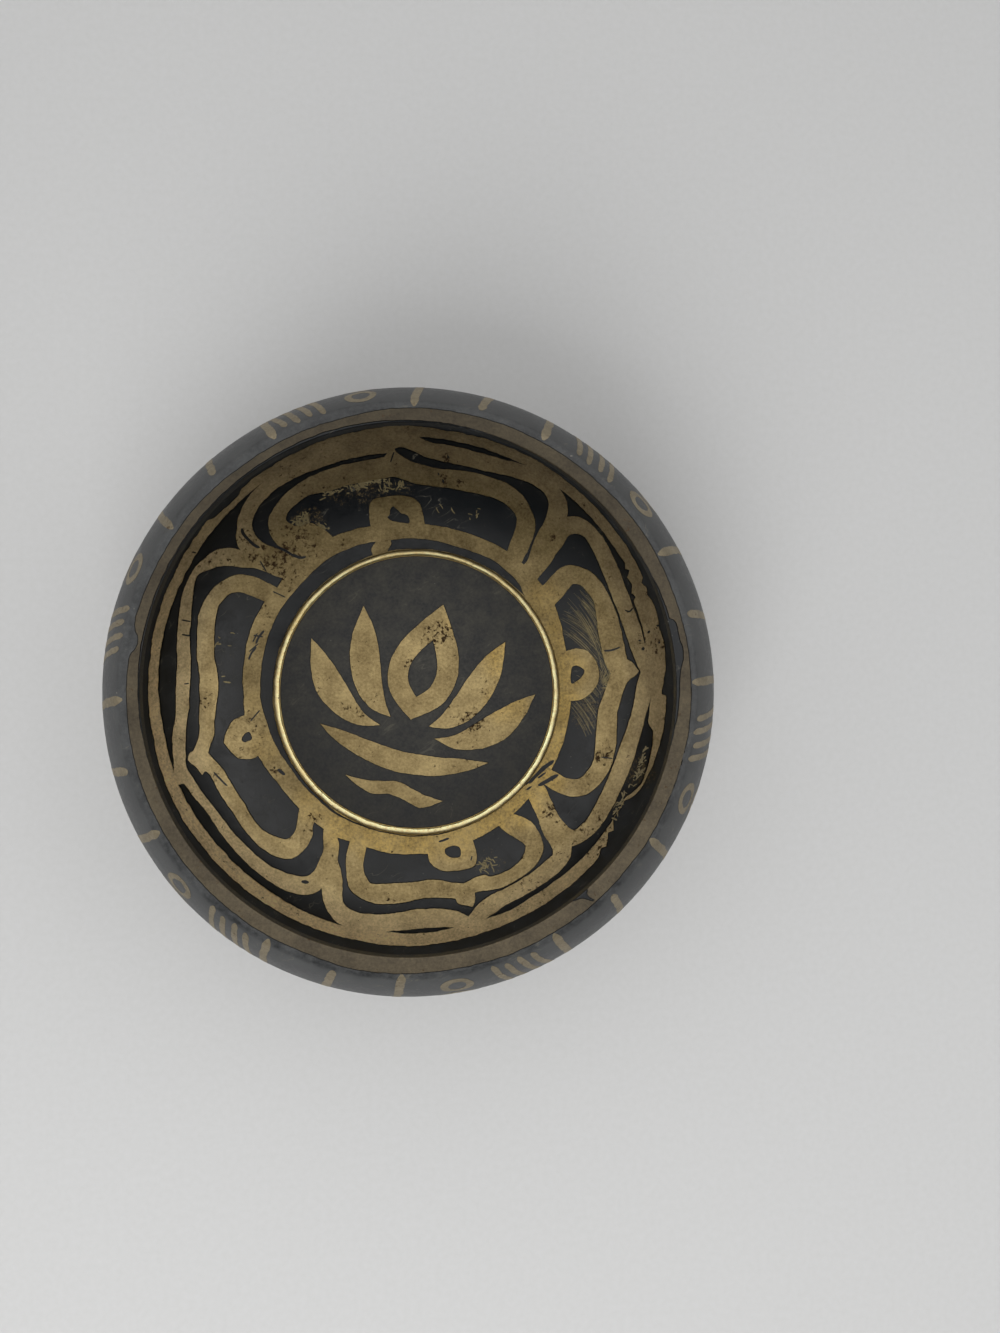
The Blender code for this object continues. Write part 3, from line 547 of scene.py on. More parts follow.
# The areas of lac on the inner wall: what each keeps, and the lines in it that stay brass
AREAS = {
    "petal_field_1": ([FIELD_RIGHT], [EYE_LINE_RIGHT]),
    "petal_field_2": ([FIELD_TOP], [EYE_LINE_TOP]),
    "petal_field_3": ([FIELD_LEFT], [EYE_LINE_LEFT]),
    "petal_field_4": ([FIELD_BOTTOM], [EYE_LINE_BOTTOM]),
    "petal_eye_1": ([EYE_RIGHT], []),
    "petal_eye_2": ([EYE_TOP], []),
    "petal_eye_3": ([EYE_LEFT], []),
    "petal_eye_4": ([EYE_BOTTOM], []),
    "petal_channel_1": ([CHANNEL_RIGHT], []),
    "petal_channel_2": ([CHANNEL_TOP, CHANNEL_TOP_END], []),
    "petal_channel_3": ([CHANNEL_LEFT], []),
    "petal_channel_4": ([CHANNEL_BOTTOM], []),
    "spandrel_1": ([SPANDREL_RIGHT_TOP, SLIVER_TOP], []),
    "spandrel_2": ([SPANDREL_TOP_LEFT], []),
    "spandrel_3": ([SPANDREL_LEFT_BOTTOM, SLIVER_BOTTOM], []),
    "spandrel_4": ([SPANDREL_BOTTOM_RIGHT], []),
    "collar_ground": ([COLLAR_RIGHT, COLLAR_LEFT], []),
}

# Where the brass is stained, where it is polished, where the lac is rubbed thin and where it is greyed, partly
# dulled by handling and partly a painted sheen, in dabs of (azimuth, mm from the axis, radius in mm, strength)
STAINS = [
    (136.6, 37.1, 6.0, 0.40), (128.7, 35.2, 5.0, 0.38), (138.7, 33.3, 4.5, 0.38), (137.0, 41.0, 4.0, 0.38),
    (82.6, 43.1, 1.2, 0.56), (83.2, 39.5, 1.4, 0.56), (78.4, 39.4, 1.0, 0.49), (96.8, 42.4, 1.0, 0.42),
    (56.3, 36.4, 1.1, 0.42), (49.1, 38.1, 1.4, 0.45), (95.6, 41.5, 1.2, 0.42), (12.0, 43.9, 5.0, 0.30),
    (340.9, 38.6, 2.2, 0.39), (342.3, 40.9, 1.5, 0.42), (340.2, 36.7, 1.7, 0.35), (318.1, 33.4, 2.0, 0.39),
    (317.0, 36.5, 1.7, 0.35), (303.2, 35.8, 1.9, 0.35), (311.1, 39.3, 2.5, 0.32), (203.0, 39.6, 2.0, 0.35),
    (209.5, 30.0, 2.0, 0.39), (186.0, 30.8, 1.7, 0.28), (232.0, 31.0, 2.6, 0.35), (264.0, 38.8, 2.2, 0.28),
    (118.0, 42.0, 5.0, 0.25), (150.0, 43.0, 5.0, 0.25), (322.0, 42.0, 6.0, 0.28), (300.0, 43.0, 6.0, 0.22),
    (70.0, 12.0, 4.0, 0.46), (195.0, 10.0, 4.0, 0.36), (330.0, 12.0, 3.0, 0.42), (90.0, 4.0, 3.0, 0.5),
]
POLISH = [
    (228.0, 28.0, 5.0, 0.38), (242.0, 28.6, 5.5, 0.60), (256.0, 28.8, 5.5, 0.68), (270.0, 28.6, 5.5, 0.68),
    (284.0, 28.4, 5.0, 0.60), (298.0, 28.6, 5.5, 0.68), (312.0, 28.8, 5.5, 0.75), (326.0, 28.6, 5.5, 0.68),
    (340.0, 28.2, 5.0, 0.68), (354.0, 28.2, 5.0, 0.68), (368.0, 28.4, 5.0, 0.60), (382.0, 28.8, 5.0, 0.52),
    (396.0, 29.4, 5.0, 0.38), (200.0, 29.8, 4.0, 0.22), (184.0, 30.4, 3.0, 0.15),
    (22.0, 18.0, 6.0, 0.6), (352.0, 17.0, 5.0, 0.5), (60.0, 16.0, 4.0, 0.3),
]
RUBS = [
    (96.0, 38.5, 5.0, 0.42), (104.0, 39.0, 5.0, 0.5), (112.0, 40.0, 4.5, 0.42), (123.0, 37.0, 4.5, 0.6),
    (3.0, 35.4, 4.0, 0.6), (353.0, 32.6, 5.0, 0.6), (18.0, 33.6, 5.0, 0.5), (292.0, 35.0, 5.0, 0.45),
    (340.0, 42.4, 5.0, 0.6), (20.0, 43.2, 4.0, 0.5), (172.0, 36.0, 4.0, 0.3), (230.0, 20.0, 8.0, 0.2),
]
HAZE_AND_SHEEN = [
    (180.0, 34.0, 13.0, 1.0), (215.0, 34.0, 12.0, 0.9), (255.0, 34.0, 12.0, 0.6), (290.0, 33.0, 12.0, 0.6),
    (340.0, 33.0, 12.0, 0.6), (12.0, 34.0, 13.0, 0.6), (150.0, 36.0, 9.0, 0.6),
]

# Painted light and shade, as shares added to the brass's brightness: painted light up the wall between two
# climbs, more so in front, painted shade at the back, painted light on the floor, and on the rim a share that
# changes to the front and to the right; then how far the colour greys up the wall and on the rim
LIGHT_AND_GREY_CLIMBS = (34, 64)
WALL_LIGHTER = 0.34
FRONT_LIGHTER = 1.2
BACK_DARKER = 0.28
FLOOR_LIGHTER = 0.22
RIM_LIGHTER = -0.06
RIM_FRONT_LIGHTER = 0.26
RIM_RIGHT_LIGHTER = 0.06
WALL_GREYED = 0.22
RIM_GREYED = 0.1


def spaced(start, end, facets):
    """Return evenly spaced values from the start to the end."""
    return [start + (end - start) * step / facets for step in range(facets + 1)]


def on_plan(azimuth, radius):
    """Return a plan point at an azimuth and a distance from the axis."""
    angle = math.radians(azimuth)
    return radius * math.cos(angle), radius * math.sin(angle)


def inner_wall(climb):
    """Return radius and height on the inner wall below the belly."""
    angle = math.radians(climb)
    radius = FLOOR_RADIUS + (INNER_BELLY_RADIUS - FLOOR_RADIUS) * math.sin(angle)
    return radius, BELLY_HEIGHT - (BELLY_HEIGHT - FLOOR_THICKNESS) * math.cos(angle)


def outer_wall(climb):
    """Return radius and height on the outer wall below the belly."""
    angle = math.radians(climb)
    radius = BASE_RADIUS + (BELLY_RADIUS - BASE_RADIUS) * math.sin(angle)
    return radius, BELLY_HEIGHT * (1 - math.cos(angle))


def shoulder(belly_radius, end_radius, end_height, facets):
    """Return the wall from the belly up to the rim."""
    sweep = math.radians(SHOULDER_SWEEP)
    inset = (belly_radius - end_radius) / (1 - math.cos(sweep))
    rise = (end_height - BELLY_HEIGHT) / math.sin(sweep)
    return [(belly_radius - inset * (1 - math.cos(angle)), BELLY_HEIGHT + rise * math.sin(angle))
            for angle in spaced(0, sweep, facets)]


def rounded(centre, radius, start, end, facets):
    """Return points on an arc, with angles in degrees from outwards to upwards."""
    angles = [math.radians(angle) for angle in spaced(start, end, facets)]
    return [(centre[0] + radius * math.cos(angle), centre[1] + radius * math.sin(angle)) for angle in angles]


def inner_shoulder():
    """Return the inner wall above the belly."""
    return shoulder(INNER_BELLY_RADIUS, RIM_INNER_RADIUS, LIP_HEIGHT, INNER_SHOULDER_FACETS)[1:]


def rim_edge():
    """Return the rounding of the rim's inner edge."""
    centre = (RIM_INNER_RADIUS + RIM_EDGE_ROUND, BOWL_HEIGHT - RIM_EDGE_ROUND)
    return rounded(centre, RIM_EDGE_ROUND, 180, 90, RIM_EDGE_FACETS)


def inner_profile():
    """Return the inside of the bowl from the middle of the floor to the inner edge of the rim."""
    floor = [(radius * MM, FLOOR_THICKNESS) for radius in FLOOR_RINGS]
    bead = []
    for angle in spaced(0, math.pi, BEAD_FACETS):
        rise = BEAD_HEIGHT * max(0, math.sin(angle)) ** BEAD_FLATNESS
        bead.append((FLOOR_RADIUS - BEAD_WIDTH / 2 * math.cos(angle), FLOOR_THICKNESS + rise))
    wall = [inner_wall(climb) for climb in spaced(BEAD_CLIMB, 90, INNER_WALL_FACETS)]
    return floor + bead + wall[1:] + inner_shoulder() + rim_edge()


def outer_profile():
    """Return the outside of the bowl from the outer edge of the rim's land down to the base."""
    lip = rounded((RIM_RADIUS, LIP_HEIGHT), LIP_ROUND, 90, LIP_FOOT_ANGLE, LIP_FACETS)
    upper = shoulder(BELLY_RADIUS, *lip[-1], OUTER_SHOULDER_FACETS)[::-1]
    wall = [outer_wall(climb) for climb in spaced(90, 0, OUTER_WALL_FACETS)]
    return lip + upper[1:] + wall[1:]


def base_profile():
    """Return the underside: a bare standing ring round a shallow turned recess, in to the axis."""
    inner_edge = BASE_RADIUS - BASE_RING_WIDTH
    points = [(inner_edge, 0), (inner_edge - BASE_RECESS, BASE_RECESS)]
    for radius in BASE_GROOVES:
        points += [((radius + BASE_GROOVE_HALF) * MM, BASE_RECESS), (radius * MM, BASE_GROOVE_DEPTH)]
        points += [((radius - BASE_GROOVE_HALF) * MM, BASE_RECESS)]
    return points + [(0, BASE_RECESS)]


def sunk(profile, depth):
    """Move an open profile to its right-hand side, into the metal, by a depth."""
    moved = []
    for index, (radius, height) in enumerate(profile):
        before = Vector(profile[max(index - 1, 0)])
        along = (Vector(profile[min(index + 1, len(profile) - 1)]) - before).normalized()
        moved.append((radius + along.y * depth, height - along.x * depth))
    return moved


def flowing(points, closed, step):
    """Return places about a step apart on a smooth curve through points, without the last point."""
    vectors = [Vector(point) for point in points]
    ends = (vectors[-2], vectors[1]) if closed else (vectors[0], vectors[-1])
    vectors = [ends[0], *vectors, ends[1]]
    places = []
    for before, start, end, after in zip(vectors, vectors[1:], vectors[2:], vectors[3:]):
        facets = max(1, math.ceil((end - start).length / step))
        for share in spaced(0, 1, facets)[:-1]:
            pull = (end - before) * share
            bend = (2 * before - 5 * start + 4 * end - after) * share ** 2
            twist = (3 * start - before - 3 * end + after) * share ** 3
            places.append(start + (pull + bend + twist) / 2)
    return places


def joined_strokes(strokes, step):
    """Return places along strokes that meet at corners; the last one may close a full turn."""
    places = []
    for stroke, following in zip(strokes, strokes[1:] + strokes[:1]):
        end = Vector(following[0])
        if stroke[-1][0] - end.x > 180:
            end.x += 360
        places += flowing([*stroke, end], len(strokes) == 1, step)
    return places


def trembled(x, y):
    """Shift a plan point a little, as a hand with a brush would, in a long and a short wave."""
    place = Vector((x, y, 0)) / MM
    shift = noise.noise_vector(place / LONG_WAVE) * 0.6 + noise.noise_vector(place / SHORT_WAVE) * 0.4
    return x + shift.x * TREMBLE, y + shift.y * TREMBLE


def anticlockwise(outline):
    """Return an outline turned so that it runs anticlockwise."""
    area = sum(x0 * y1 - x1 * y0 for (x0, y0), (x1, y1) in zip(outline, outline[1:] + outline[:1]))
    return outline if area > 0 else outline[::-1]


def drawn(strokes, reach):
    """Return the plan outline of strokes of azimuth and place; reach turns a place into a distance."""
    places = joined_strokes(strokes, STEP_DEGREES)
    return anticlockwise([trembled(*on_plan(azimuth, reach(place))) for azimuth, place in places])


def on_wall(strokes):
    """Return the plan outline of strokes of (azimuth, climb) on the inner wall."""
    return drawn(strokes, lambda climb: inner_wall(climb)[0])


def on_land(strokes):
    """Return the plan outline of strokes of (azimuth, mm from the axis) on the rim."""
    return drawn(strokes, lambda distance: distance * MM)


def lotus_outline(strokes, side=1):
    """Return a stroke of the lotus in plan, turned, and mirrored where side is -1."""
    turn = math.radians(LOTUS_TURN)
    outline = []
    for x, y in joined_strokes(strokes, LOTUS_STEP):
        x, y = side * x * LOTUS_REACH, y * LOTUS_REACH
        turned_x = x * math.cos(turn) - y * math.sin(turn)
        turned_y = x * math.sin(turn) + y * math.cos(turn)
        outline.append(trembled(turned_x, turned_y))
    return anticlockwise(outline)


def circle(radius, facets):
    """Return a plan circle round the axis."""
    angles = spaced(0, math.tau, facets)[:-1]
    return [(radius * math.cos(angle), radius * math.sin(angle)) for angle in angles]


def moved_out(outline, distance):
    """Move an anticlockwise outline outwards, or inwards by a distance under 0, and drop what folds over."""
    moved = []
    for index, (x, y) in enumerate(outline):
        before = Vector(outline[index - 1])
        along = (Vector(outline[(index + 1) % len(outline)]) - before).normalized()
        moved.append((x + along.y * distance, y - along.x * distance))
    tree = kdtree.KDTree(len(outline))
    for index, (x, y) in enumerate(outline):
        tree.insert((x, y, 0), index)
    tree.balance()
    return [(x, y) for x, y in moved if tree.find((x, y, 0))[2] >= abs(distance) * 0.9]


def deselect():
    """Leave nothing selected."""
    bpy.ops.object.select_all(action="DESELECT")


def pick(piece):
    """Make one piece the selected and active one."""
    deselect()
    piece.select_set(True)
    bpy.context.view_layer.objects.active = piece


def loop(name, points):
    """Draw a closed loop of edges through points."""
    deselect()
    bpy.ops.mesh.primitive_circle_add(vertices=len(points), radius=1, fill_type="NOTHING")
    piece = bpy.context.object
    piece.name = name
    for vertex, point in zip(piece.data.vertices, points):
        vertex.co = point
    return piece


def turned(name, profile, steps):
    """Turn a closed profile of radius and height round the bowl's axis."""
    piece = loop(name, [(radius, 0, height) for radius, height in profile])
    bpy.ops.object.modifier_add(type="SCREW")
    screw = piece.modifiers[0]
    screw.steps = steps
    screw.render_steps = steps
    screw.use_merge_vertices = True
    screw.merge_threshold = WELD
    bpy.ops.object.modifier_apply(modifier=screw.name)
    bpy.ops.object.mode_set(mode="EDIT")
    bpy.ops.mesh.select_all(action="SELECT")
    bpy.ops.mesh.remove_doubles(threshold=WELD)
    bpy.ops.mesh.delete_loose()
    bpy.ops.mesh.select_all(action="SELECT")
    bpy.ops.mesh.normals_make_consistent(inside=False)
    bpy.ops.object.mode_set(mode="OBJECT")
    return piece


def unevened(piece):
    """Shift the bead's points a little, as if it were worked by hand."""
    for vertex in piece.data.vertices:
        off_middle = abs(vertex.co.to_2d().length - FLOOR_RADIUS)
        if off_middle < 0.49 * BEAD_WIDTH and 0.01 * MM < vertex.co.z - FLOOR_THICKNESS < MM:
            shift = noise.noise_vector(vertex.co / MM / BEAD_WAVE)
            vertex.co += Vector([step * size for step, size in zip(shift, BEAD_TREMBLE)]) * MM


def layer(name, profile, top, bottom, steps):
    """Turn the layer between two depths under an open profile."""
    return turned(name, sunk(profile, top) + sunk(profile, bottom)[::-1], steps)


def pocket_and_lac(name, profile, recess):
    """Turn a pocket under an open profile, and the lac that fills it up to a recess."""
    pocket = layer(name + "_pocket", profile, -POCKET_REACH, ETCH_DEPTH, TURNED_STEPS)
    return pocket, layer(name, profile, recess, LAC_FLOOR, TURNED_STEPS)


def slab(name, outline, low, high):
    """Raise a plan outline into an upright slab between two heights."""
    piece = loop(name, [(x, y, low) for x, y in outline])
    bpy.ops.object.mode_set(mode="EDIT")
    bpy.ops.mesh.select_all(action="SELECT")
    bpy.ops.mesh.edge_face_add()
    bpy.ops.mesh.extrude_region_move(TRANSFORM_OT_translate={"value": (0, 0, high - low)})
    bpy.ops.mesh.select_all(action="SELECT")
    bpy.ops.mesh.normals_make_consistent(inside=False)
    bpy.ops.object.mode_set(mode="OBJECT")
    return piece


def copied(piece, name):
    """Copy a piece with its own mesh."""
    pick(piece)
    bpy.ops.object.duplicate()
    bpy.context.object.name = name
    return bpy.context.object


def cut(piece, tool, operation):
    """Cut a piece with a tool, and throw the tool away; other solvers leave open edges on layers this thin."""
    pick(piece)
    modifier = piece.modifiers.new("Cut", "BOOLEAN")
    modifier.operation = operation
    modifier.solver = "MANIFOLD"
    modifier.material_mode = "TRANSFER"
    modifier.object = tool
    bpy.ops.object.modifier_apply(modifier=modifier.name)
    bpy.data.objects.remove(tool)


def trim(pocket, lac, operation, outline, span):
    """Cut a pocket and its lac along an upright outline, with a crack between the two."""
    crack = CRACK if operation == "DIFFERENCE" else -CRACK
    cut(pocket, slab("tool", outline, *span), operation)
    cut(lac, slab("tool", moved_out(outline, crack), *span), operation)


def joined(pieces, name):
    """Join pieces into one."""
    deselect()
    for piece in pieces:
        piece.select_set(True)
    bpy.context.view_layer.objects.active = pieces[0]
    if len(pieces) > 1:
        bpy.ops.object.join()
    bpy.context.object.name = name
    return bpy.context.object


def etch_body(pocket):
    """Cut a pocket into the bowl, black with lac where it shows in the crack beside the filling."""
    pocket.data.materials.clear()
    pocket.data.materials.append(wall_lac)
    cut(body, pocket, "DIFFERENCE")


def etch_area(name, keeps, drops):
    """Etch areas of the inner wall and fill them with lac, less the lines that stay brass."""
    islands = []
    for keep in keeps:
        pocket = copied(pocket_layer, name + "_pocket")
        lac = copied(lac_layer, name)
        trim(pocket, lac, "INTERSECT", on_wall(keep), WALL_SPAN)
        for drop in drops:
            trim(pocket, lac, "DIFFERENCE", on_wall(drop), WALL_SPAN)
        pockets.append(pocket)
        islands.append(lac)
    return joined(islands, name)


def etch_rim_channel():
    """Etch the wall from the band up to the rim and fill it with lac, with patches that run over the rim."""
    bare = (RIM_INNER_RADIUS, BOWL_HEIGHT - RIM_BARE)
    wall = [inner_wall(climb) for climb in spaced(RIM_CHANNEL_CLIMB, 90, 40)]
    pocket, lac = pocket_and_lac("rim_channel_lac", [*wall, *inner_shoulder(), bare], LAC_RECESS)
    trim(pocket, lac, "DIFFERENCE", on_wall(RIM_CHANNEL_FOOT), WALL_SPAN)
    etch_body(pocket)
    islands = [lac]
    rim = [bare, *rim_edge(), *[(radius * MM, BOWL_HEIGHT) for radius in RIM_RINGS]]
    for patch in RIM_PATCHES:
        pocket, lac = pocket_and_lac("rim_patch", rim, LAC_RECESS)
        trim(pocket, lac, "INTERSECT", on_land(patch), RIM_SPAN)
        etch_body(pocket)
        islands.append(lac)
    return joined(islands, "rim_channel_lac")


def etch_floor(name, outline, strokes):
    """Etch a flat area of the floor and fill it with lac, less the strokes that stay brass."""
    pocket = slab(name + "_pocket", outline, FLOOR_THICKNESS - ETCH_DEPTH, FLOOR_THICKNESS + POCKET_REACH)
    filled = moved_out(outline, -CRACK)
    lac = slab(name, filled, FLOOR_THICKNESS - LAC_FLOOR, FLOOR_THICKNESS - LAC_RECESS)
    for stroke in strokes:
        trim(pocket, lac, "DIFFERENCE", stroke, WALL_SPAN)
    pockets.append(pocket)
    return lac


def etch_frieze():
    """Etch the outer wall from the hand-drawn edge of the land down, and fill it with lac."""
    land = [(radius * MM, BOWL_HEIGHT) for radius in LAND_RINGS]
    foot_height = outer_wall(FRIEZE_FOOT_CLIMB)[1]
    profile = land + [point for point in outer_profile() if point[1] >= foot_height - WELD]
    pocket, lac = pocket_and_lac("frieze_lac", profile, OUTER_RECESS)
    trim(pocket, lac, "DIFFERENCE", on_land([LAND_EDGE]), RIM_SPAN)
    etch_body(pocket)
    return lac


def etch_foot():
    """Etch the ring above the base and fill it with lac."""
    profile = [outer_wall(climb) for climb in spaced(FOOT_FIELD_TOP_CLIMB, FOOT_FIELD_CLIMB, 40)]
    pocket, lac = pocket_and_lac("foot_lac", profile, OUTER_RECESS)
    etch_body(pocket)
    return lac


def outer_length():
    """Return each point of the outer wall with its distance from the rim along the wall, in mm."""
    profile = outer_profile()
    length = 0
    measured = []
    for before, point in zip([profile[0], *profile], profile):
        length += math.dist(before, point) / MM
        measured.append((length, *point))
    return measured


def on_outer(down):
    """Return radius, height and outward slope at so many mm below the rim along the outer wall."""
    for (near, radius, height), (far, next_radius, next_height) in zip(OUTER_LENGTH, OUTER_LENGTH[1:]):
        if down <= far:
            share = (down - near) / (far - near)
            slope = Vector((height - next_height, next_radius - radius)).normalized()
            return radius + (next_radius - radius) * share, height + (next_height - height) * share, slope
    return radius, height, slope


def on_inner(climb):
    """Return radius, height and slope out of the metal on the inner wall."""
    radius, height = inner_wall(climb)
    ahead = inner_wall(climb + 0.1)
    return radius, height, Vector((height - ahead[1], ahead[0] - radius)).normalized()


def ribbon(path, width, surface, unit, lift):
    """Return the points across a flat stroke with tapered ends and a slight tremor.

    The path's places are an azimuth and a distance on the surface, in a unit of so many mm.
    """
    flat = [Vector((math.radians(path[0][0]) * surface(path[0][1])[0] / MM, path[0][1] * unit))]
    steps = [0]
    for before, after in zip(path, path[1:]):
        arc = math.radians(after[0] - before[0]) * surface((before[1] + after[1]) / 2)[0] / MM
        flat.append(flat[-1] + Vector((arc, (after[1] - before[1]) * unit)))
        steps.append(steps[-1] + (flat[-1] - flat[-2]).length)
    last = len(path) - 1
    closed = (Vector(path[0]) - Vector(path[-1])).length < 0.01
    stroke = []
    for index, (azimuth, distance) in enumerate(path):
        behind = flat[index - 1 if index else (last - 1 if closed else 0)]
        ahead = flat[index + 1 if index < last else (1 if closed else last)]
        along = (ahead - behind).normalized()
        to_end = 9 if closed else min(steps[index], steps[-1] - steps[index]) / width
        taper = min(1, TIP_SHARE + (1 - TIP_SHARE) * math.sqrt(min(to_end, 1)))
        points = []
        for row in (-1, 0, 1):
            tremor = noise.noise(Vector((flat[index].x, flat[index].y, row * 7.0)) / STROKE_WAVE)
            across = row * width / 2 * taper * (1 + tremor * STROKE_TREMOR)
            radius, height, slope = surface(distance + along.x * across / unit)
            angle = math.radians(azimuth) - along.y * across * MM / radius
            radius += slope.x * lift
            height += slope.y * lift
            points.append((radius * math.cos(angle), radius * math.sin(angle), height))
        stroke.append(points)
    return stroke


def stroke_layer(ribbons, name, thickness, inwards):
    """Lay ribbons along one grid, part it between them, and give it a thickness below its face."""
    places = [points for stroke in ribbons for points in stroke]
    ends = set()
    for stroke in ribbons:
        ends.add(max(ends, default=-1) + len(stroke))
    deselect()
    bpy.ops.mesh.primitive_grid_add(x_subdivisions=len(places) - 1, y_subdivisions=2, size=1)
    piece = bpy.context.object
    piece.name = name
    mesh = piece.data
    for column, points in enumerate(places):
        for row, point in enumerate(points):
            mesh.vertices[row * len(places) + column].co = point
    bpy.ops.object.mode_set(mode="EDIT")
    bpy.ops.mesh.select_mode(type="FACE")
    bpy.ops.mesh.select_all(action="DESELECT")
    bpy.ops.object.mode_set(mode="OBJECT")
    for face in mesh.polygons:
        face.select = min(corner % len(places) for corner in face.vertices) in ends
    bpy.ops.object.mode_set(mode="EDIT")
    bpy.ops.mesh.delete(type="FACE")
    bpy.ops.mesh.select_all(action="SELECT")
    bpy.ops.mesh.remove_doubles(threshold=2 * WELD)
    bpy.ops.object.mode_set(mode="OBJECT")
    outwards = mesh.polygons[0].normal.dot(Vector((*mesh.polygons[0].center.xy, 0)))
    if (outwards > 0) == inwards:
        bpy.ops.object.mode_set(mode="EDIT")
        bpy.ops.mesh.flip_normals()
        bpy.ops.object.mode_set(mode="OBJECT")
    solidify = piece.modifiers.new("Thickness", "SOLIDIFY")
    solidify.thickness = thickness
    solidify.offset = -1
    bpy.ops.object.modifier_apply(modifier=solidify.name)
    return piece


def frieze_strokes():
    """Return the brass strokes of the frieze: bars, rings, leaves, slanted strokes, arches and a wave below."""
    paths = []
    for repeat in range(FRIEZE_REPEATS):
        turn = repeat * 360 / FRIEZE_REPEATS + 2.0 * math.sin(2.4 * repeat)
        for azimuth, top, low, lean in FRIEZE_BARS:
            bar = [(turn + azimuth + lean * share, top + (low - top) * share) for share in spaced(0, 1, 40)]
            paths.append((bar, BROAD_BRUSH))
        for azimuth, down, half in FRIEZE_RINGS:
            ring = [(turn + azimuth + half * math.cos(angle), down + half * 0.96 * math.sin(angle))
                    for angle in spaced(0, math.tau, 36)]
            paths.append((ring, RING_BRUSH))
        leaf = flowing([(turn + azimuth, down) for azimuth, down in FRIEZE_LEAF], True, 0.6)
        paths.append(([*leaf, leaf[0]], BROAD_BRUSH))
        azimuth, top, low = FRIEZE_MIDRIB
        paths.append(([(turn + azimuth, down) for down in spaced(top, low, 14)], FINE_BRUSH))
        for azimuth, top in FRIEZE_SLANTS:
            slant = [(turn + azimuth + SLANT_LEAN * share, top + SLANT_LENGTH * share)
                     for share in spaced(0, 1, 28)]
            paths.append((slant, FINE_BRUSH))
        arch = flowing([(turn + azimuth, down) for azimuth, down in FRIEZE_ARCH], False, 0.5)
        paths.append((arch, BROAD_BRUSH))
    wave = [(azimuth, WAVE_DOWN + WAVE_SWING * math.sin(math.radians(azimuth * WAVES)))
            for azimuth in spaced(0, 360, 480)]
    paths.append((wave, FINE_BRUSH))
    return [ribbon(path, width, on_outer, 1, -MARK_RECESS) for path, width in paths]


def foot_strokes():
    """Return the brass strokes of the ring of lotus petals above the base."""
    strokes = []
    top, low = (OUTER_LENGTH[-1][0] - share for share in (FOOT_TOP_ABOVE_BASE, FOOT_LOW_ABOVE_BASE))
    for petal in range(FOOT_PETALS):
        middle = petal * 360 / FOOT_PETALS
        for half, drop, width in FOOT_ARCHES:
            rise = low - (top + drop)
            arch = [(middle + half * across, low - rise * up) for across, up in FOOT_ARCH]
            strokes.append(ribbon(flowing(arch, False, 0.6), width, on_outer, 1, -MARK_RECESS))
    return strokes


def flake_strokes():
    """Return the feathery flakes of bare brass where the lac has come off."""
    strokes = []
    chance = random.Random(FLAKE_SEED)
    for azimuth, climb, wide, tall, count in FLAKES:
        for flake in range(count):
            across, up = chance.gauss(0, 0.5), chance.gauss(0, 0.5)
            if abs(across) > 1 or abs(up) > 1:
                continue
            start = Vector((azimuth + wide * across, climb + tall * up))
            heading = math.radians(chance.gauss(*FLAKE_HEADING))
            length = chance.uniform(*FLAKE_LENGTH)
            bend = chance.uniform(-FLAKE_BEND, FLAKE_BEND)
            path = []
            for share in spaced(0, 1, 6):
                angle = heading + bend * share
                step = Vector((math.cos(angle) * FLAKE_AZIMUTH, math.sin(angle) * FLAKE_CLIMB))
                path.append(start + step * length * share)
            strokes.append(ribbon(path, chance.uniform(*FLAKE_WIDTH), on_inner, CLIMB_MM, MARK_LIFT))
    return strokes


def slip_strokes():
    """Return the small slips, drops and cracks of lac on the brass lines of the inner wall."""
    return [ribbon(flowing(path, False, 0.5), width, on_inner, CLIMB_MM, SLIP_LIFT)
            for path, width in LAC_SLIPS]


def scratch_strokes():
    """Return the fine parallel scratches that bare the brass on one petal, drawn coarser than real hairs."""
    strokes = []
    chance = random.Random(SCRATCH_SEED)
    for azimuth, climb, end_azimuth, end_climb in SCRATCHES:
        if end_azimuth - azimuth > 180:
            end_azimuth -= 360
        for hair in range(SCRATCH_HAIRS):
            shift = chance.uniform(-1, 1)
            bend = chance.uniform(0, SCRATCH_BOW)
            start = chance.uniform(0, 0.45)
            end = chance.uniform(0.55, 1)
            path = []
            for share in spaced(start, end, 24):
                bow = bend * share * (1 - share)
                path.append((azimuth + (end_azimuth - azimuth) * share + shift * SCRATCH_AZIMUTH,
                             climb + (end_climb - climb) * share + shift * SCRATCH_CLIMB + bow))
            strokes.append(ribbon(path, chance.uniform(*SCRATCH_WIDTH), on_inner, CLIMB_MM, MARK_LIFT))
    return strokes


def linear(colour):
    """Turn an sRGB hex colour into linear RGBA."""
    shares = [int(colour[place:place + 2], 16) / 255 for place in (1, 3, 5)]
    rgb = [share / 12.92 if share <= 0.04045 else ((share + 0.055) / 1.055) ** 2.4 for share in shares]
    return (*rgb, 1.0)


def node(tree, kind, links, **settings):
    """Add a shader node with its settings, and its inputs as values or as other nodes' outputs."""
    made = tree.nodes.new("ShaderNode" + kind)
    for name, value in settings.items():
        setattr(made, name, value)
    for socket, value in links.items():
        if isinstance(value, bpy.types.NodeSocket):
            tree.links.new(value, made.inputs[socket])
        else:
            made.inputs[socket].default_value = value
    return made


def per_mm(size):
    """Return the texture scale at which a pattern's features are about so many mm wide."""
    return 1 / (size * MM)


def finish(name, metallic):
    """Start a material and return its tree, its shader and the piece's own coordinates."""
    material = bpy.data.materials.new(name)
    material.use_nodes = True
    tree = material.node_tree
    shader = tree.nodes["Principled BSDF"]
    shader.inputs["Metallic"].default_value = metallic
    place = tree.nodes.new("ShaderNodeTexCoord").outputs["Object"]
    return material, tree, shader, place


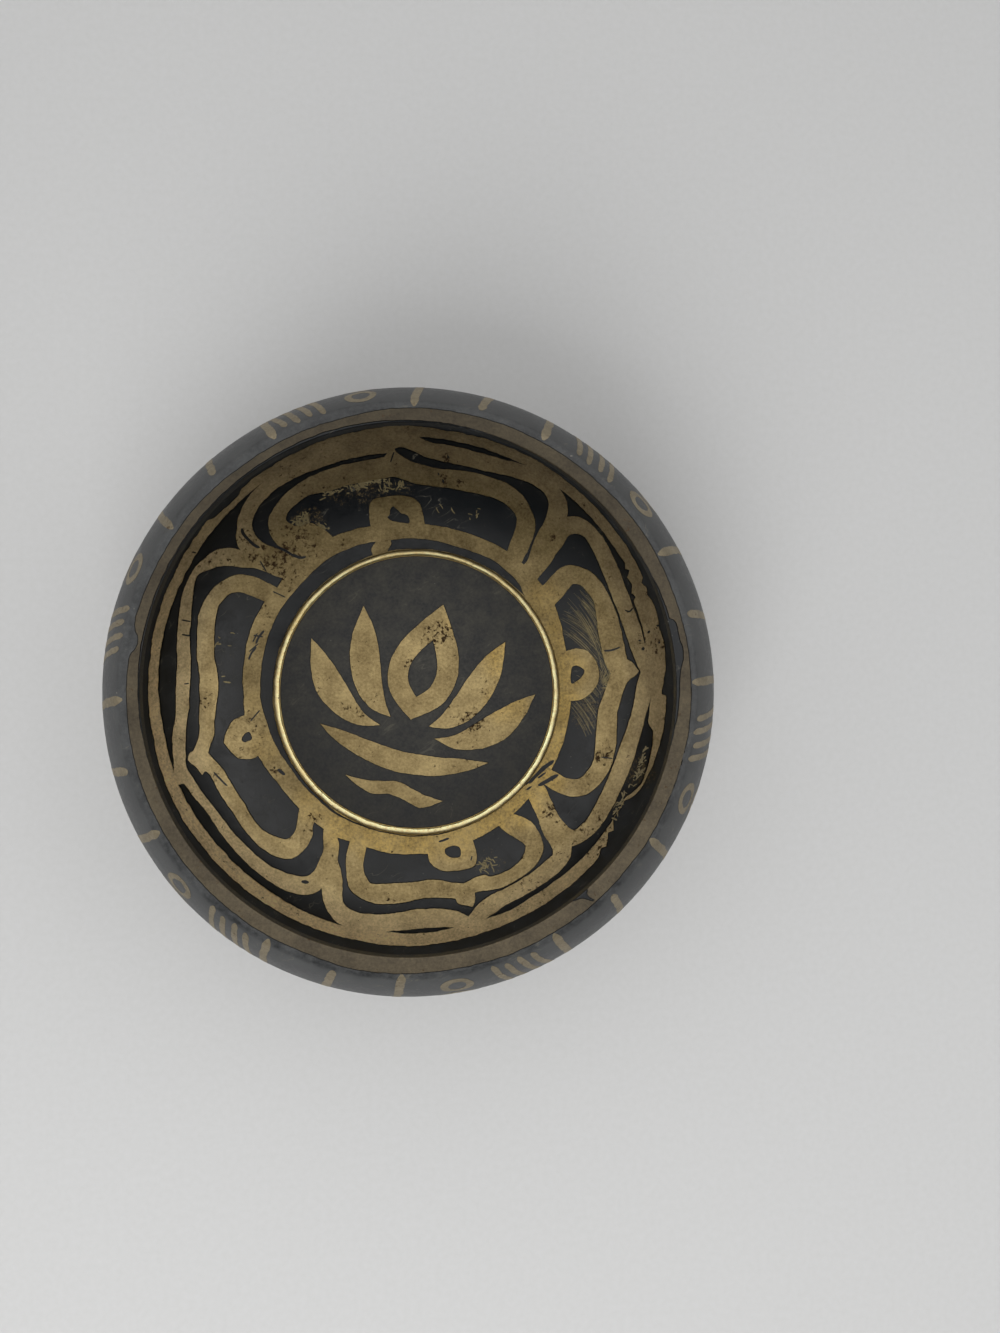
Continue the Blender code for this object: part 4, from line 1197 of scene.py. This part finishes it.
def brass_finish(name, bright, dull, gleam, metallic, roughness, grain):
    """Brass that tarnish clouds in patches a few mm wide, with brown blots and pits, and gold where polished.

    The speckle and the grit are finer on real brass, and are drawn as coarse as they need to be to show.
    """
    material, tree, shader, place = finish(name, metallic)
    clouds = node(tree, "TexNoise", {"Vector": place, "Scale": per_mm(5.0), "Detail": 5.0, "Roughness": 0.62})
    mottle = node(tree, "TexNoise", {"Vector": place, "Scale": per_mm(0.5), "Detail": 4.0, "Roughness": 0.7})
    cloudy = node(tree, "MapRange", {"Value": clouds.outputs["Fac"], "From Min": 0.34, "From Max": 0.66})
    speckled = node(tree, "MapRange", {"Value": mottle.outputs["Fac"], "From Min": 0.30, "From Max": 0.70})
    patina = node(tree, "Mix", {0: 0.55, 2: cloudy.outputs[0], 3: speckled.outputs[0]})
    tone = node(tree, "Mix", {0: patina.outputs[0], 6: linear(dull), 7: linear(bright)}, data_type="RGBA")
    # Gold where hands have polished it, lighter or darker by painted light and shade, and greyed high up the
    # wall
    rubbed = node(tree, "Attribute", {}, attribute_name="polish")
    polish = node(tree, "Math", {0: rubbed.outputs["Fac"], 1: speckled.outputs[0]}, operation="MULTIPLY")
    gold = node(tree, "Mix", {0: polish.outputs[0], 6: tone.outputs[2], 7: linear(gleam)}, data_type="RGBA")
    painted_light_share = node(tree, "Attribute", {}, attribute_name="painted_light")
    lift = node(tree, "Math", {0: painted_light_share.outputs["Fac"], 1: 1.0}, operation="ADD")
    lit = node(tree, "VectorMath", {0: gold.outputs[2], "Scale": lift.outputs[0]}, operation="SCALE")
    greyed = node(tree, "Attribute", {}, attribute_name="greyed")
    saturation = node(tree, "Math", {0: 1.0, 1: greyed.outputs["Fac"]}, operation="SUBTRACT")
    lit_and_greyed = node(tree, "HueSaturation", {"Saturation": saturation.outputs[0], "Color": lit.outputs[0]})
    # Brown blots and pits, which crowd where the brass is stained
    region = node(tree, "TexNoise", {"Vector": place, "Scale": per_mm(7.0), "Detail": 2.0})
    speck = node(tree, "TexNoise", {"Vector": place, "Scale": per_mm(0.9), "Detail": 5.0, "Roughness": 0.7})
    spoilt = node(tree, "Attribute", {}, attribute_name="stain")
    crowd = node(tree, "Math", {0: region.outputs["Fac"], 1: spoilt.outputs["Fac"]}, operation="ADD")
    chance = node(tree, "Math", {0: crowd.outputs[0], 1: 0.30, 2: speck.outputs["Fac"]},
                  operation="MULTIPLY_ADD")
    pit = node(tree, "MapRange", {"Value": chance.outputs[0], "From Min": 0.79, "From Max": 0.87})
    colour = node(tree, "Mix", {0: pit.outputs[0], 6: lit_and_greyed.outputs[0], 7: linear("#4f3d2a")}, data_type="RGBA")
    shine = node(tree, "MapRange", {"Value": patina.outputs[0], "To Min": roughness + 0.12,
                                    "To Max": roughness - 0.06})
    clean = node(tree, "Math", {0: polish.outputs[0], 1: -0.18, 2: shine.outputs[0]}, operation="MULTIPLY_ADD")
    dirt = node(tree, "Math", {0: pit.outputs[0], 1: 0.25, 2: clean.outputs[0]}, operation="MULTIPLY_ADD")
    grit = node(tree, "TexNoise", {"Vector": place, "Scale": per_mm(0.22), "Detail": 3.0})
    surface = node(tree, "Math", {0: pit.outputs[0], 1: -0.6, 2: grit.outputs["Fac"]},
                   operation="MULTIPLY_ADD")
    bump = node(tree, "Bump", {"Height": surface.outputs[0], "Distance": grain * MM, "Strength": 0.7})
    tree.links.new(colour.outputs[2], shader.inputs["Base Color"])
    tree.links.new(dirt.outputs[0], shader.inputs["Roughness"])
    tree.links.new(bump.outputs["Normal"], shader.inputs["Normal"])
    return material


def lac_finish(name, ground, haze_and_sheen, rubbed, even_haze_and_sheen, roughness):
    """Black lac melted into the etched ground: scuffed, brown where rubbed thin, and grey where dulled by
    handling and where a sheen of reflected light is painted in.

    Hair scratches and dust are finer on real lac, and are drawn as coarse as they need to be to show.
    """
    material, tree, shader, place = finish(name, 0)
    clouds = node(tree, "TexNoise", {"Vector": place, "Scale": per_mm(4.0), "Detail": 5.0, "Roughness": 0.65})
    scuff = node(tree, "TexNoise", {"Vector": place, "Scale": per_mm(0.6), "Detail": 5.0, "Roughness": 0.75})
    hazy = node(tree, "MapRange", {"Value": clouds.outputs["Fac"], "From Min": 0.40, "From Max": 0.62})
    scuffed = node(tree, "MapRange", {"Value": scuff.outputs["Fac"], "From Min": 0.40, "From Max": 0.64})
    dull = node(tree, "Mix", {0: 0.5, 2: hazy.outputs[0], 3: scuffed.outputs[0]})
    # The grey film's share: partly dulling by handling, partly a painted sheen of reflected light
    haze_and_sheen_mark = node(tree, "Attribute", {}, attribute_name="haze_and_sheen")
    share = node(tree, "Math", {0: haze_and_sheen_mark.outputs["Fac"], 1: even_haze_and_sheen}, operation="ADD", use_clamp=True)
    film = node(tree, "Math", {0: dull.outputs[0], 1: share.outputs[0]}, operation="MULTIPLY")
    tone = node(tree, "Mix", {0: film.outputs[0], 6: linear(ground), 7: linear(haze_and_sheen)}, data_type="RGBA")
    # Rare hair scratches and grains of dust
    drawn_out = node(tree, "Mapping", {"Vector": place, "Rotation": (0, 0, 0.6), "Scale": (5, 1, 1)},
                     vector_type="TEXTURE")
    strands = node(tree, "TexNoise", {"Vector": drawn_out.outputs[0], "Scale": per_mm(2.6), "Detail": 2.0})
    level = node(tree, "Math", {0: strands.outputs["Fac"], 1: 0.5, 2: 0.007}, operation="COMPARE")
    rare = node(tree, "MapRange", {"Value": clouds.outputs["Fac"], "From Min": 0.52, "From Max": 0.66,
                                   "To Max": 0.55})
    hair = node(tree, "Math", {0: level.outputs[0], 1: rare.outputs[0]}, operation="MULTIPLY")
    scratched = node(tree, "Mix", {0: hair.outputs[0], 6: tone.outputs[2], 7: linear("#5c584c")},
                     data_type="RGBA")
    grains = node(tree, "TexNoise", {"Vector": place, "Scale": per_mm(0.7), "Detail": 1.0})
    dust = node(tree, "MapRange", {"Value": grains.outputs["Fac"], "From Min": 0.79, "From Max": 0.84})
    dusty = node(tree, "Mix", {0: dust.outputs[0], 6: scratched.outputs[2], 7: linear("#6f6c64")},
                 data_type="RGBA")
    # Ragged brown patches where it is rubbed thin
    worn = node(tree, "Attribute", {}, attribute_name="wear")
    flake = node(tree, "TexNoise", {"Vector": place, "Scale": per_mm(0.6), "Detail": 6.0, "Roughness": 0.72,
                                    "Distortion": 1.2})
    loss = node(tree, "Math", {0: worn.outputs["Fac"], 1: 0.34, 2: flake.outputs["Fac"]},
                operation="MULTIPLY_ADD")
    bare = node(tree, "MapRange", {"Value": loss.outputs[0], "From Min": 0.70, "From Max": 0.82})
    colour = node(tree, "Mix", {0: bare.outputs[0], 6: dusty.outputs[2], 7: linear(rubbed)}, data_type="RGBA")
    shine = node(tree, "MapRange", {"Value": dull.outputs[0], "To Min": roughness - 0.06,
                                    "To Max": roughness + 0.20})
    bump = node(tree, "Bump", {"Height": scuff.outputs["Fac"], "Distance": 0.02 * MM, "Strength": 0.7})
    tree.links.new(colour.outputs[2], shader.inputs["Base Color"])
    tree.links.new(shine.outputs[0], shader.inputs["Roughness"])
    tree.links.new(bump.outputs["Normal"], shader.inputs["Normal"])
    return material


def places_of(piece):
    """Return the places of a piece's points."""
    places = np.empty(len(piece.data.vertices) * 3)
    piece.data.vertices.foreach_get("co", places)
    return places.reshape(-1, 3)


def attach(piece, name, values):
    """Keep a value for each of a piece's points, as an attribute that its material reads."""
    piece.data.attributes.new(name, "FLOAT", "POINT").data.foreach_set("value", values)


def painted(piece, name, dabs):
    """Paint dabs of (azimuth, mm from the axis, radius in mm, strength) on a piece as a fading attribute."""
    places = places_of(piece)
    values = np.zeros(len(places))
    for azimuth, reach, size, strength in dabs:
        middle = np.array((*on_plan(azimuth, reach * MM), 0))
        share = 1 - np.linalg.norm((places - middle)[:, :2], axis=1) / (size * MM)
        values = np.maximum(values, strength * np.clip(share * 2, 0, 1))
    values[places[:, 2] >= BELLY_HEIGHT] = 0
    attach(piece, name, values)


def painted_light_and_grey(piece):
    """Paint light and shade into the brass as shares of its brightness, and how far its colour has greyed.

    Inside, painted light on the floor and high up in front, painted shade at the back, and greyer up the wall.
    """
    places = places_of(piece)
    azimuth = np.arctan2(places[:, 1], places[:, 0])
    reach = np.hypot(places[:, 0], places[:, 1])
    low, high = (inner_wall(climb)[0] for climb in LIGHT_AND_GREY_CLIMBS)
    climbed = np.clip((reach - low) / (high - low), 0, 1)
    front = np.clip(0.5 - 0.5 * np.sin(azimuth) - 0.3 * np.cos(azimuth), 0, 1)
    # Painted light up the wall, more in front, and painted shade at the back
    painted_light = climbed * (WALL_LIGHTER + FRONT_LIGHTER * front) - BACK_DARKER * np.clip(np.sin(azimuth), 0, 1)
    painted_light[reach < FLOOR_RADIUS] = FLOOR_LIGHTER
    upper = places[:, 2] >= BELLY_HEIGHT
    to_front, to_right = -np.sin(azimuth[upper]), np.cos(azimuth[upper])
    painted_light[upper] = RIM_LIGHTER + RIM_FRONT_LIGHTER * to_front + RIM_RIGHT_LIGHTER * to_right
    attach(piece, "painted_light", painted_light)
    greyed = WALL_GREYED * climbed
    greyed[upper] = RIM_GREYED
    attach(piece, "greyed", greyed)


def softbox(name, place, size, radiance):
    """Hang a soft lamp that faces the bowl, with the radiance that its face shows."""
    deselect()
    bpy.ops.object.light_add(type="AREA", location=place)
    lamp = bpy.context.object
    lamp.name = name
    lamp.data.shape = "RECTANGLE"
    lamp.data.size, lamp.data.size_y = size
    lamp.data.energy = radiance * math.pi * size[0] * size[1]
    lamp.rotation_euler = (Vector(place) - Vector(LAMP_AIM)).to_track_quat("Z", "Y").to_euler()
    return lamp


# Cast brass, etched back to a satin gold line that tarnish has browned
line_brass = brass_finish("etched_brass", "#c0aa79", "#776543", "#cba856", 0.9, 0.48, 0.03)
# Brass bared by rubbing: thin, dull and still half under a film of lac
rubbed_brass = brass_finish("rubbed_brass", "#9c8e66", "#6d6144", "#cba856", 0.6, 0.50, 0.02)
# The bead, turned and then polished by use: pale gold with a bright highlight
bead_brass = brass_finish("polished_brass", "#fbeab8", "#e0c584", "#fff0c0", 1, 0.40, 0.008)
# The rim's land, which hands have tarnished to a dull brown grey
rim_brass = brass_finish("tarnished_brass", "#645944", "#3f382e", "#8a7a55", 0.7, 0.50, 0.03)
# Brush strokes of brass on the outside, greyed like the land
mark_brass = brass_finish("outer_brass", "#8a7f68", "#665d4c", "#8a7a55", 0.6, 0.55, 0.03)
# Lac is a resin coloured black: on the floor it is flat and satin, under a warm grey film of dust and painted
# sheen
floor_lac = lac_finish("floor_black_lac", "#070708", "#413f38", "#5a4a30", 1, 0.42)
# On the wall it is deep, a little blue as a painted cool reflection, and grey where handled and painted with
# sheen
wall_lac = lac_finish("wall_black_lac", "#06090c", "#2a2a27", "#5c4c2d", 0.05, 0.38)
# Under the rim it is painted lighter and cooler: painted light and a painted cool reflection in the rim's shade
rim_lac_painted_light = lac_finish("black_lac_painted_light", "#121416", "#25282b", "#5f5034", 1, 0.40)
# On the outside it is worn matt by the hand that holds the bowl, its grey partly a painted reflection of the
# table
outer_lac = lac_finish("outer_black_lac", "#171819", "#404141", "#5a4a30", 1, 0.46)

# The brass body, its pockets and the lac in them
pockets = []
OUTER_LENGTH = outer_length()
body = turned("brass_bowl", inner_profile() + outer_profile() + base_profile(), TURNED_STEPS)
unevened(body)
for material in (line_brass, bead_brass, rim_brass, wall_lac):
    body.data.materials.append(material)
wall_profile = [inner_wall(climb) for climb in spaced(*DRAWING_CLIMBS, 66)]
rough_profile = [inner_wall(climb) for climb in spaced(*DRAWING_CLIMBS, 33)]
lac_layer = layer("lac_layer", wall_profile, LAC_RECESS, LAC_FLOOR, TURNED_STEPS)
pocket_layer = layer("pocket_layer", rough_profile, -POCKET_REACH, ETCH_DEPTH, POCKET_STEPS)
wall_lacs = {area: etch_area(area + "_lac", keeps, drops) for area, (keeps, drops) in AREAS.items()}
lotus = [lotus_outline(LOTUS_HEART), lotus_outline(LOTUS_CUP), lotus_outline(LOTUS_WAVE)]
for side in (1, -1):
    lotus += [lotus_outline(LOTUS_SIDE_PETAL, side), lotus_outline(LOTUS_OUTER_PETAL, side)]
floor_lacs = {
    "floor_ground": etch_floor("floor_lac", circle(GROUND_RADIUS, TURNED_STEPS), lotus),
    "emblem_core": etch_floor("lotus_core_lac", lotus_outline(LOTUS_HEART_CORE), []),
}
etch_body(joined(pockets, "pockets"))
wall_lacs["rim_channel_ground"] = etch_rim_channel()
outer_lacs = {"outer_frieze_ground": etch_frieze(), "outer_foot_ground": etch_foot()}
for layer_tool in (lac_layer, pocket_layer):
    bpy.data.objects.remove(layer_tool)
frieze_ornament = stroke_layer(frieze_strokes(), "frieze_ornament", ORNAMENT_THICKNESS, False)
foot_ornament = stroke_layer(foot_strokes(), "foot_ornament", ORNAMENT_THICKNESS, False)
lac_slips = stroke_layer(slip_strokes(), "lac_slips", SLIP_THICKNESS, True)
rubbed_marks = scratch_strokes() + flake_strokes()
rubbed_scratches = stroke_layer(rubbed_marks, "rubbed_scratches", MARK_THICKNESS, True)

# Their finishes: the bead and the rim's land have their own on the body, and so has the top of the rim's lac
for face in body.data.polygons:
    radius = face.center.to_2d().length
    if body.data.materials[face.material_index] == wall_lac:
        continue
    if abs(radius - FLOOR_RADIUS) < BEAD_WIDTH / 2 and FLOOR_THICKNESS < face.center.z < FLOOR_THICKNESS + MM:
        face.material_index = 1
    elif face.center.z > LIP_HEIGHT and radius > RIM_INNER_RADIUS - 0.1 * MM:
        face.material_index = 2
    else:
        face.material_index = 0
for lacs, material, slot in ((floor_lacs, floor_lac, "floor_lac"), (wall_lacs, wall_lac, "wall_lac"),
                             (outer_lacs, outer_lac, "outer_lac")):
    for cad_node, piece in lacs.items():
        piece.data.materials.clear()
        piece.data.materials.append(material)
        painted(piece, "wear", RUBS)
        # Grey film dabs on the lac: partly handling, partly a painted sheen of reflected light
        painted(piece, "haze_and_sheen", HAZE_AND_SHEEN)
        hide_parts(cad_node)
rim_lac = wall_lacs["rim_channel_ground"]
# The lac under the rim takes the lighter finish, whose colour is painted light; its top on the rim keeps the
# wall's
rim_lac.data.materials[0] = rim_lac_painted_light
rim_lac.data.materials.append(wall_lac)
for face in rim_lac.data.polygons:
    face.material_index = int(face.center.z > BOWL_HEIGHT - RIM_BARE)
painted(body, "stain", STAINS)
painted(body, "polish", POLISH)
# Painted light and shade as shares of the brass's brightness, and its greying, on the bowl and the bared marks
painted_light_and_grey(body)
painted_light_and_grey(rubbed_scratches)
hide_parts("bowl_body")
for piece, material, slot in ((frieze_ornament, mark_brass, "brass"), (foot_ornament, mark_brass, "brass"),
                              (lac_slips, wall_lac, "wall_lac"), (rubbed_scratches, rubbed_brass, "brass")):
    piece.data.materials.clear()
    piece.data.materials.append(material)
for piece in [body, frieze_ornament, foot_ornament, lac_slips, rubbed_scratches,
              *floor_lacs.values(), *wall_lacs.values(), *outer_lacs.values()]:
    pick(piece)
    bpy.ops.object.shade_smooth_by_angle(angle=SMOOTH_ANGLE)
    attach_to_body(piece, "root")

# The table, in pale matt paint, which sweeps up into a backdrop all round. Far out it shows its own pale
# colour to the camera and in reflections, and near the bowl it keeps the shadow
sweep = [(SWEEP_START + SWEEP_RADIUS * math.sin(angle), SWEEP_RADIUS - SWEEP_RADIUS * math.cos(angle))
         for angle in spaced(0, math.pi / 2, 12)]
back = [(SWEEP_START + SWEEP_RADIUS, BACKDROP_TOP), (TABLE_EDGE, BACKDROP_TOP),
        (TABLE_EDGE, -TABLE_THICKNESS), (0, -TABLE_THICKNESS)]
table = turned("table", [(0, 0), (0.6, 0), *sweep, *back], TABLE_STEPS)
bpy.ops.object.shade_smooth_by_angle(angle=SMOOTH_ANGLE)
table_paint, tree, shader, place = finish("matt_paint", 0)
fibre = node(tree, "TexNoise", {"Vector": place, "Scale": per_mm(1.2), "Detail": 4.0})
paint = node(tree, "Mix", {0: fibre.outputs["Fac"], 6: linear("#b2b2b1"), 7: linear("#bababa")},
             data_type="RGBA")
tree.links.new(paint.outputs[2], shader.inputs["Base Color"])
shader.inputs["Roughness"].default_value = 0.7
reach = node(tree, "VectorMath", {0: place}, operation="LENGTH")
far = node(tree, "MapRange", {"Value": reach.outputs["Value"], "From Min": BACKDROP_FROM,
                              "From Max": BACKDROP_FULL})
ray = node(tree, "LightPath", {})
mirror = node(tree, "Math", {0: ray.outputs["Is Glossy Ray"], 1: ray.outputs["Is Transmission Ray"]},
              operation="ADD")
shown = node(tree, "Math", {0: ray.outputs["Is Camera Ray"], 1: mirror.outputs[0]}, operation="ADD",
             use_clamp=True)
pale = node(tree, "Math", {0: far.outputs[0], 1: shown.outputs[0]}, operation="MULTIPLY")
backdrop = node(tree, "Emission", {"Color": linear("#d4d4d2")})
mixed = node(tree, "MixShader", {0: pale.outputs[0], 1: shader.outputs[0], 2: backdrop.outputs[0]})
tree.links.new(mixed.outputs[0], tree.nodes["Material Output"].inputs["Surface"])
table.data.materials.append(table_paint)

# Soft light from above and from all sides; the front lamp lights the bowl but isn't mirrored in it
scene = bpy.context.scene
scene.view_settings.view_transform = "Standard"
world = bpy.data.worlds.new("studio")
scene.world = world
world.use_nodes = True
world.node_tree.nodes["Background"].inputs["Color"].default_value = (1, 1, 1, 1)
world.node_tree.nodes["Background"].inputs["Strength"].default_value = AMBIENT
softbox("ceiling", (0, 0, 1.0), (1.3, 1.3), 0.75)
softbox("window", (0, 1.0, 0.75), (1.8, 1.0), 0.85)
softbox("left", (-1.0, 0.1, 0.8), (1.2, 1.0), 0.9)
softbox("right", (1.0, 0.1, 0.8), (1.2, 1.0), 1.15)
front = softbox("front", (-0.1, -0.45, 0.45), (0.5, 0.4), 5.6)
front.visible_glossy = False

# A flag of black cloth in front, seen only in reflections, keeps the far petals dark
deselect()
bpy.ops.mesh.primitive_plane_add(size=1, location=FLAG_PLACE, rotation=(math.radians(FLAG_TILT), 0, 0))
flag = bpy.context.object
flag.name = "flag"
flag.scale = FLAG_SIZE
bpy.ops.object.transform_apply(location=True, rotation=True, scale=True)
black_cloth, _, shader, _ = finish("black_cloth", 0)
shader.inputs["Base Color"].default_value = linear("#0a0a0a")
shader.inputs["Roughness"].default_value = 0.9
flag.data.materials.append(black_cloth)
flag.visible_camera = False
flag.visible_diffuse = False
flag.visible_shadow = False

# The camera, above the bowl and a little off its axis
camera_data = bpy.data.cameras.new("camera")
camera_data.sensor_fit = "VERTICAL"
camera_data.sensor_height = 36
camera_data.lens = CAMERA_LENS
camera_data.clip_start = 0.01
camera = bpy.data.objects.new("camera", camera_data)
scene.collection.objects.link(camera)
forward = Vector((math.sin(CAMERA_LEAN), math.sin(CAMERA_NOD) * math.cos(CAMERA_LEAN),
                  -math.cos(CAMERA_LEAN) * math.cos(CAMERA_NOD))).normalized()
right = forward.cross(Vector((0, 1, 0))).normalized()
turn = Matrix((right, right.cross(forward), -forward)).transposed()
camera.matrix_world = Matrix.LocRotScale(Vector(CAMERA_PLACE) * MM, turn, None)
scene.camera = camera
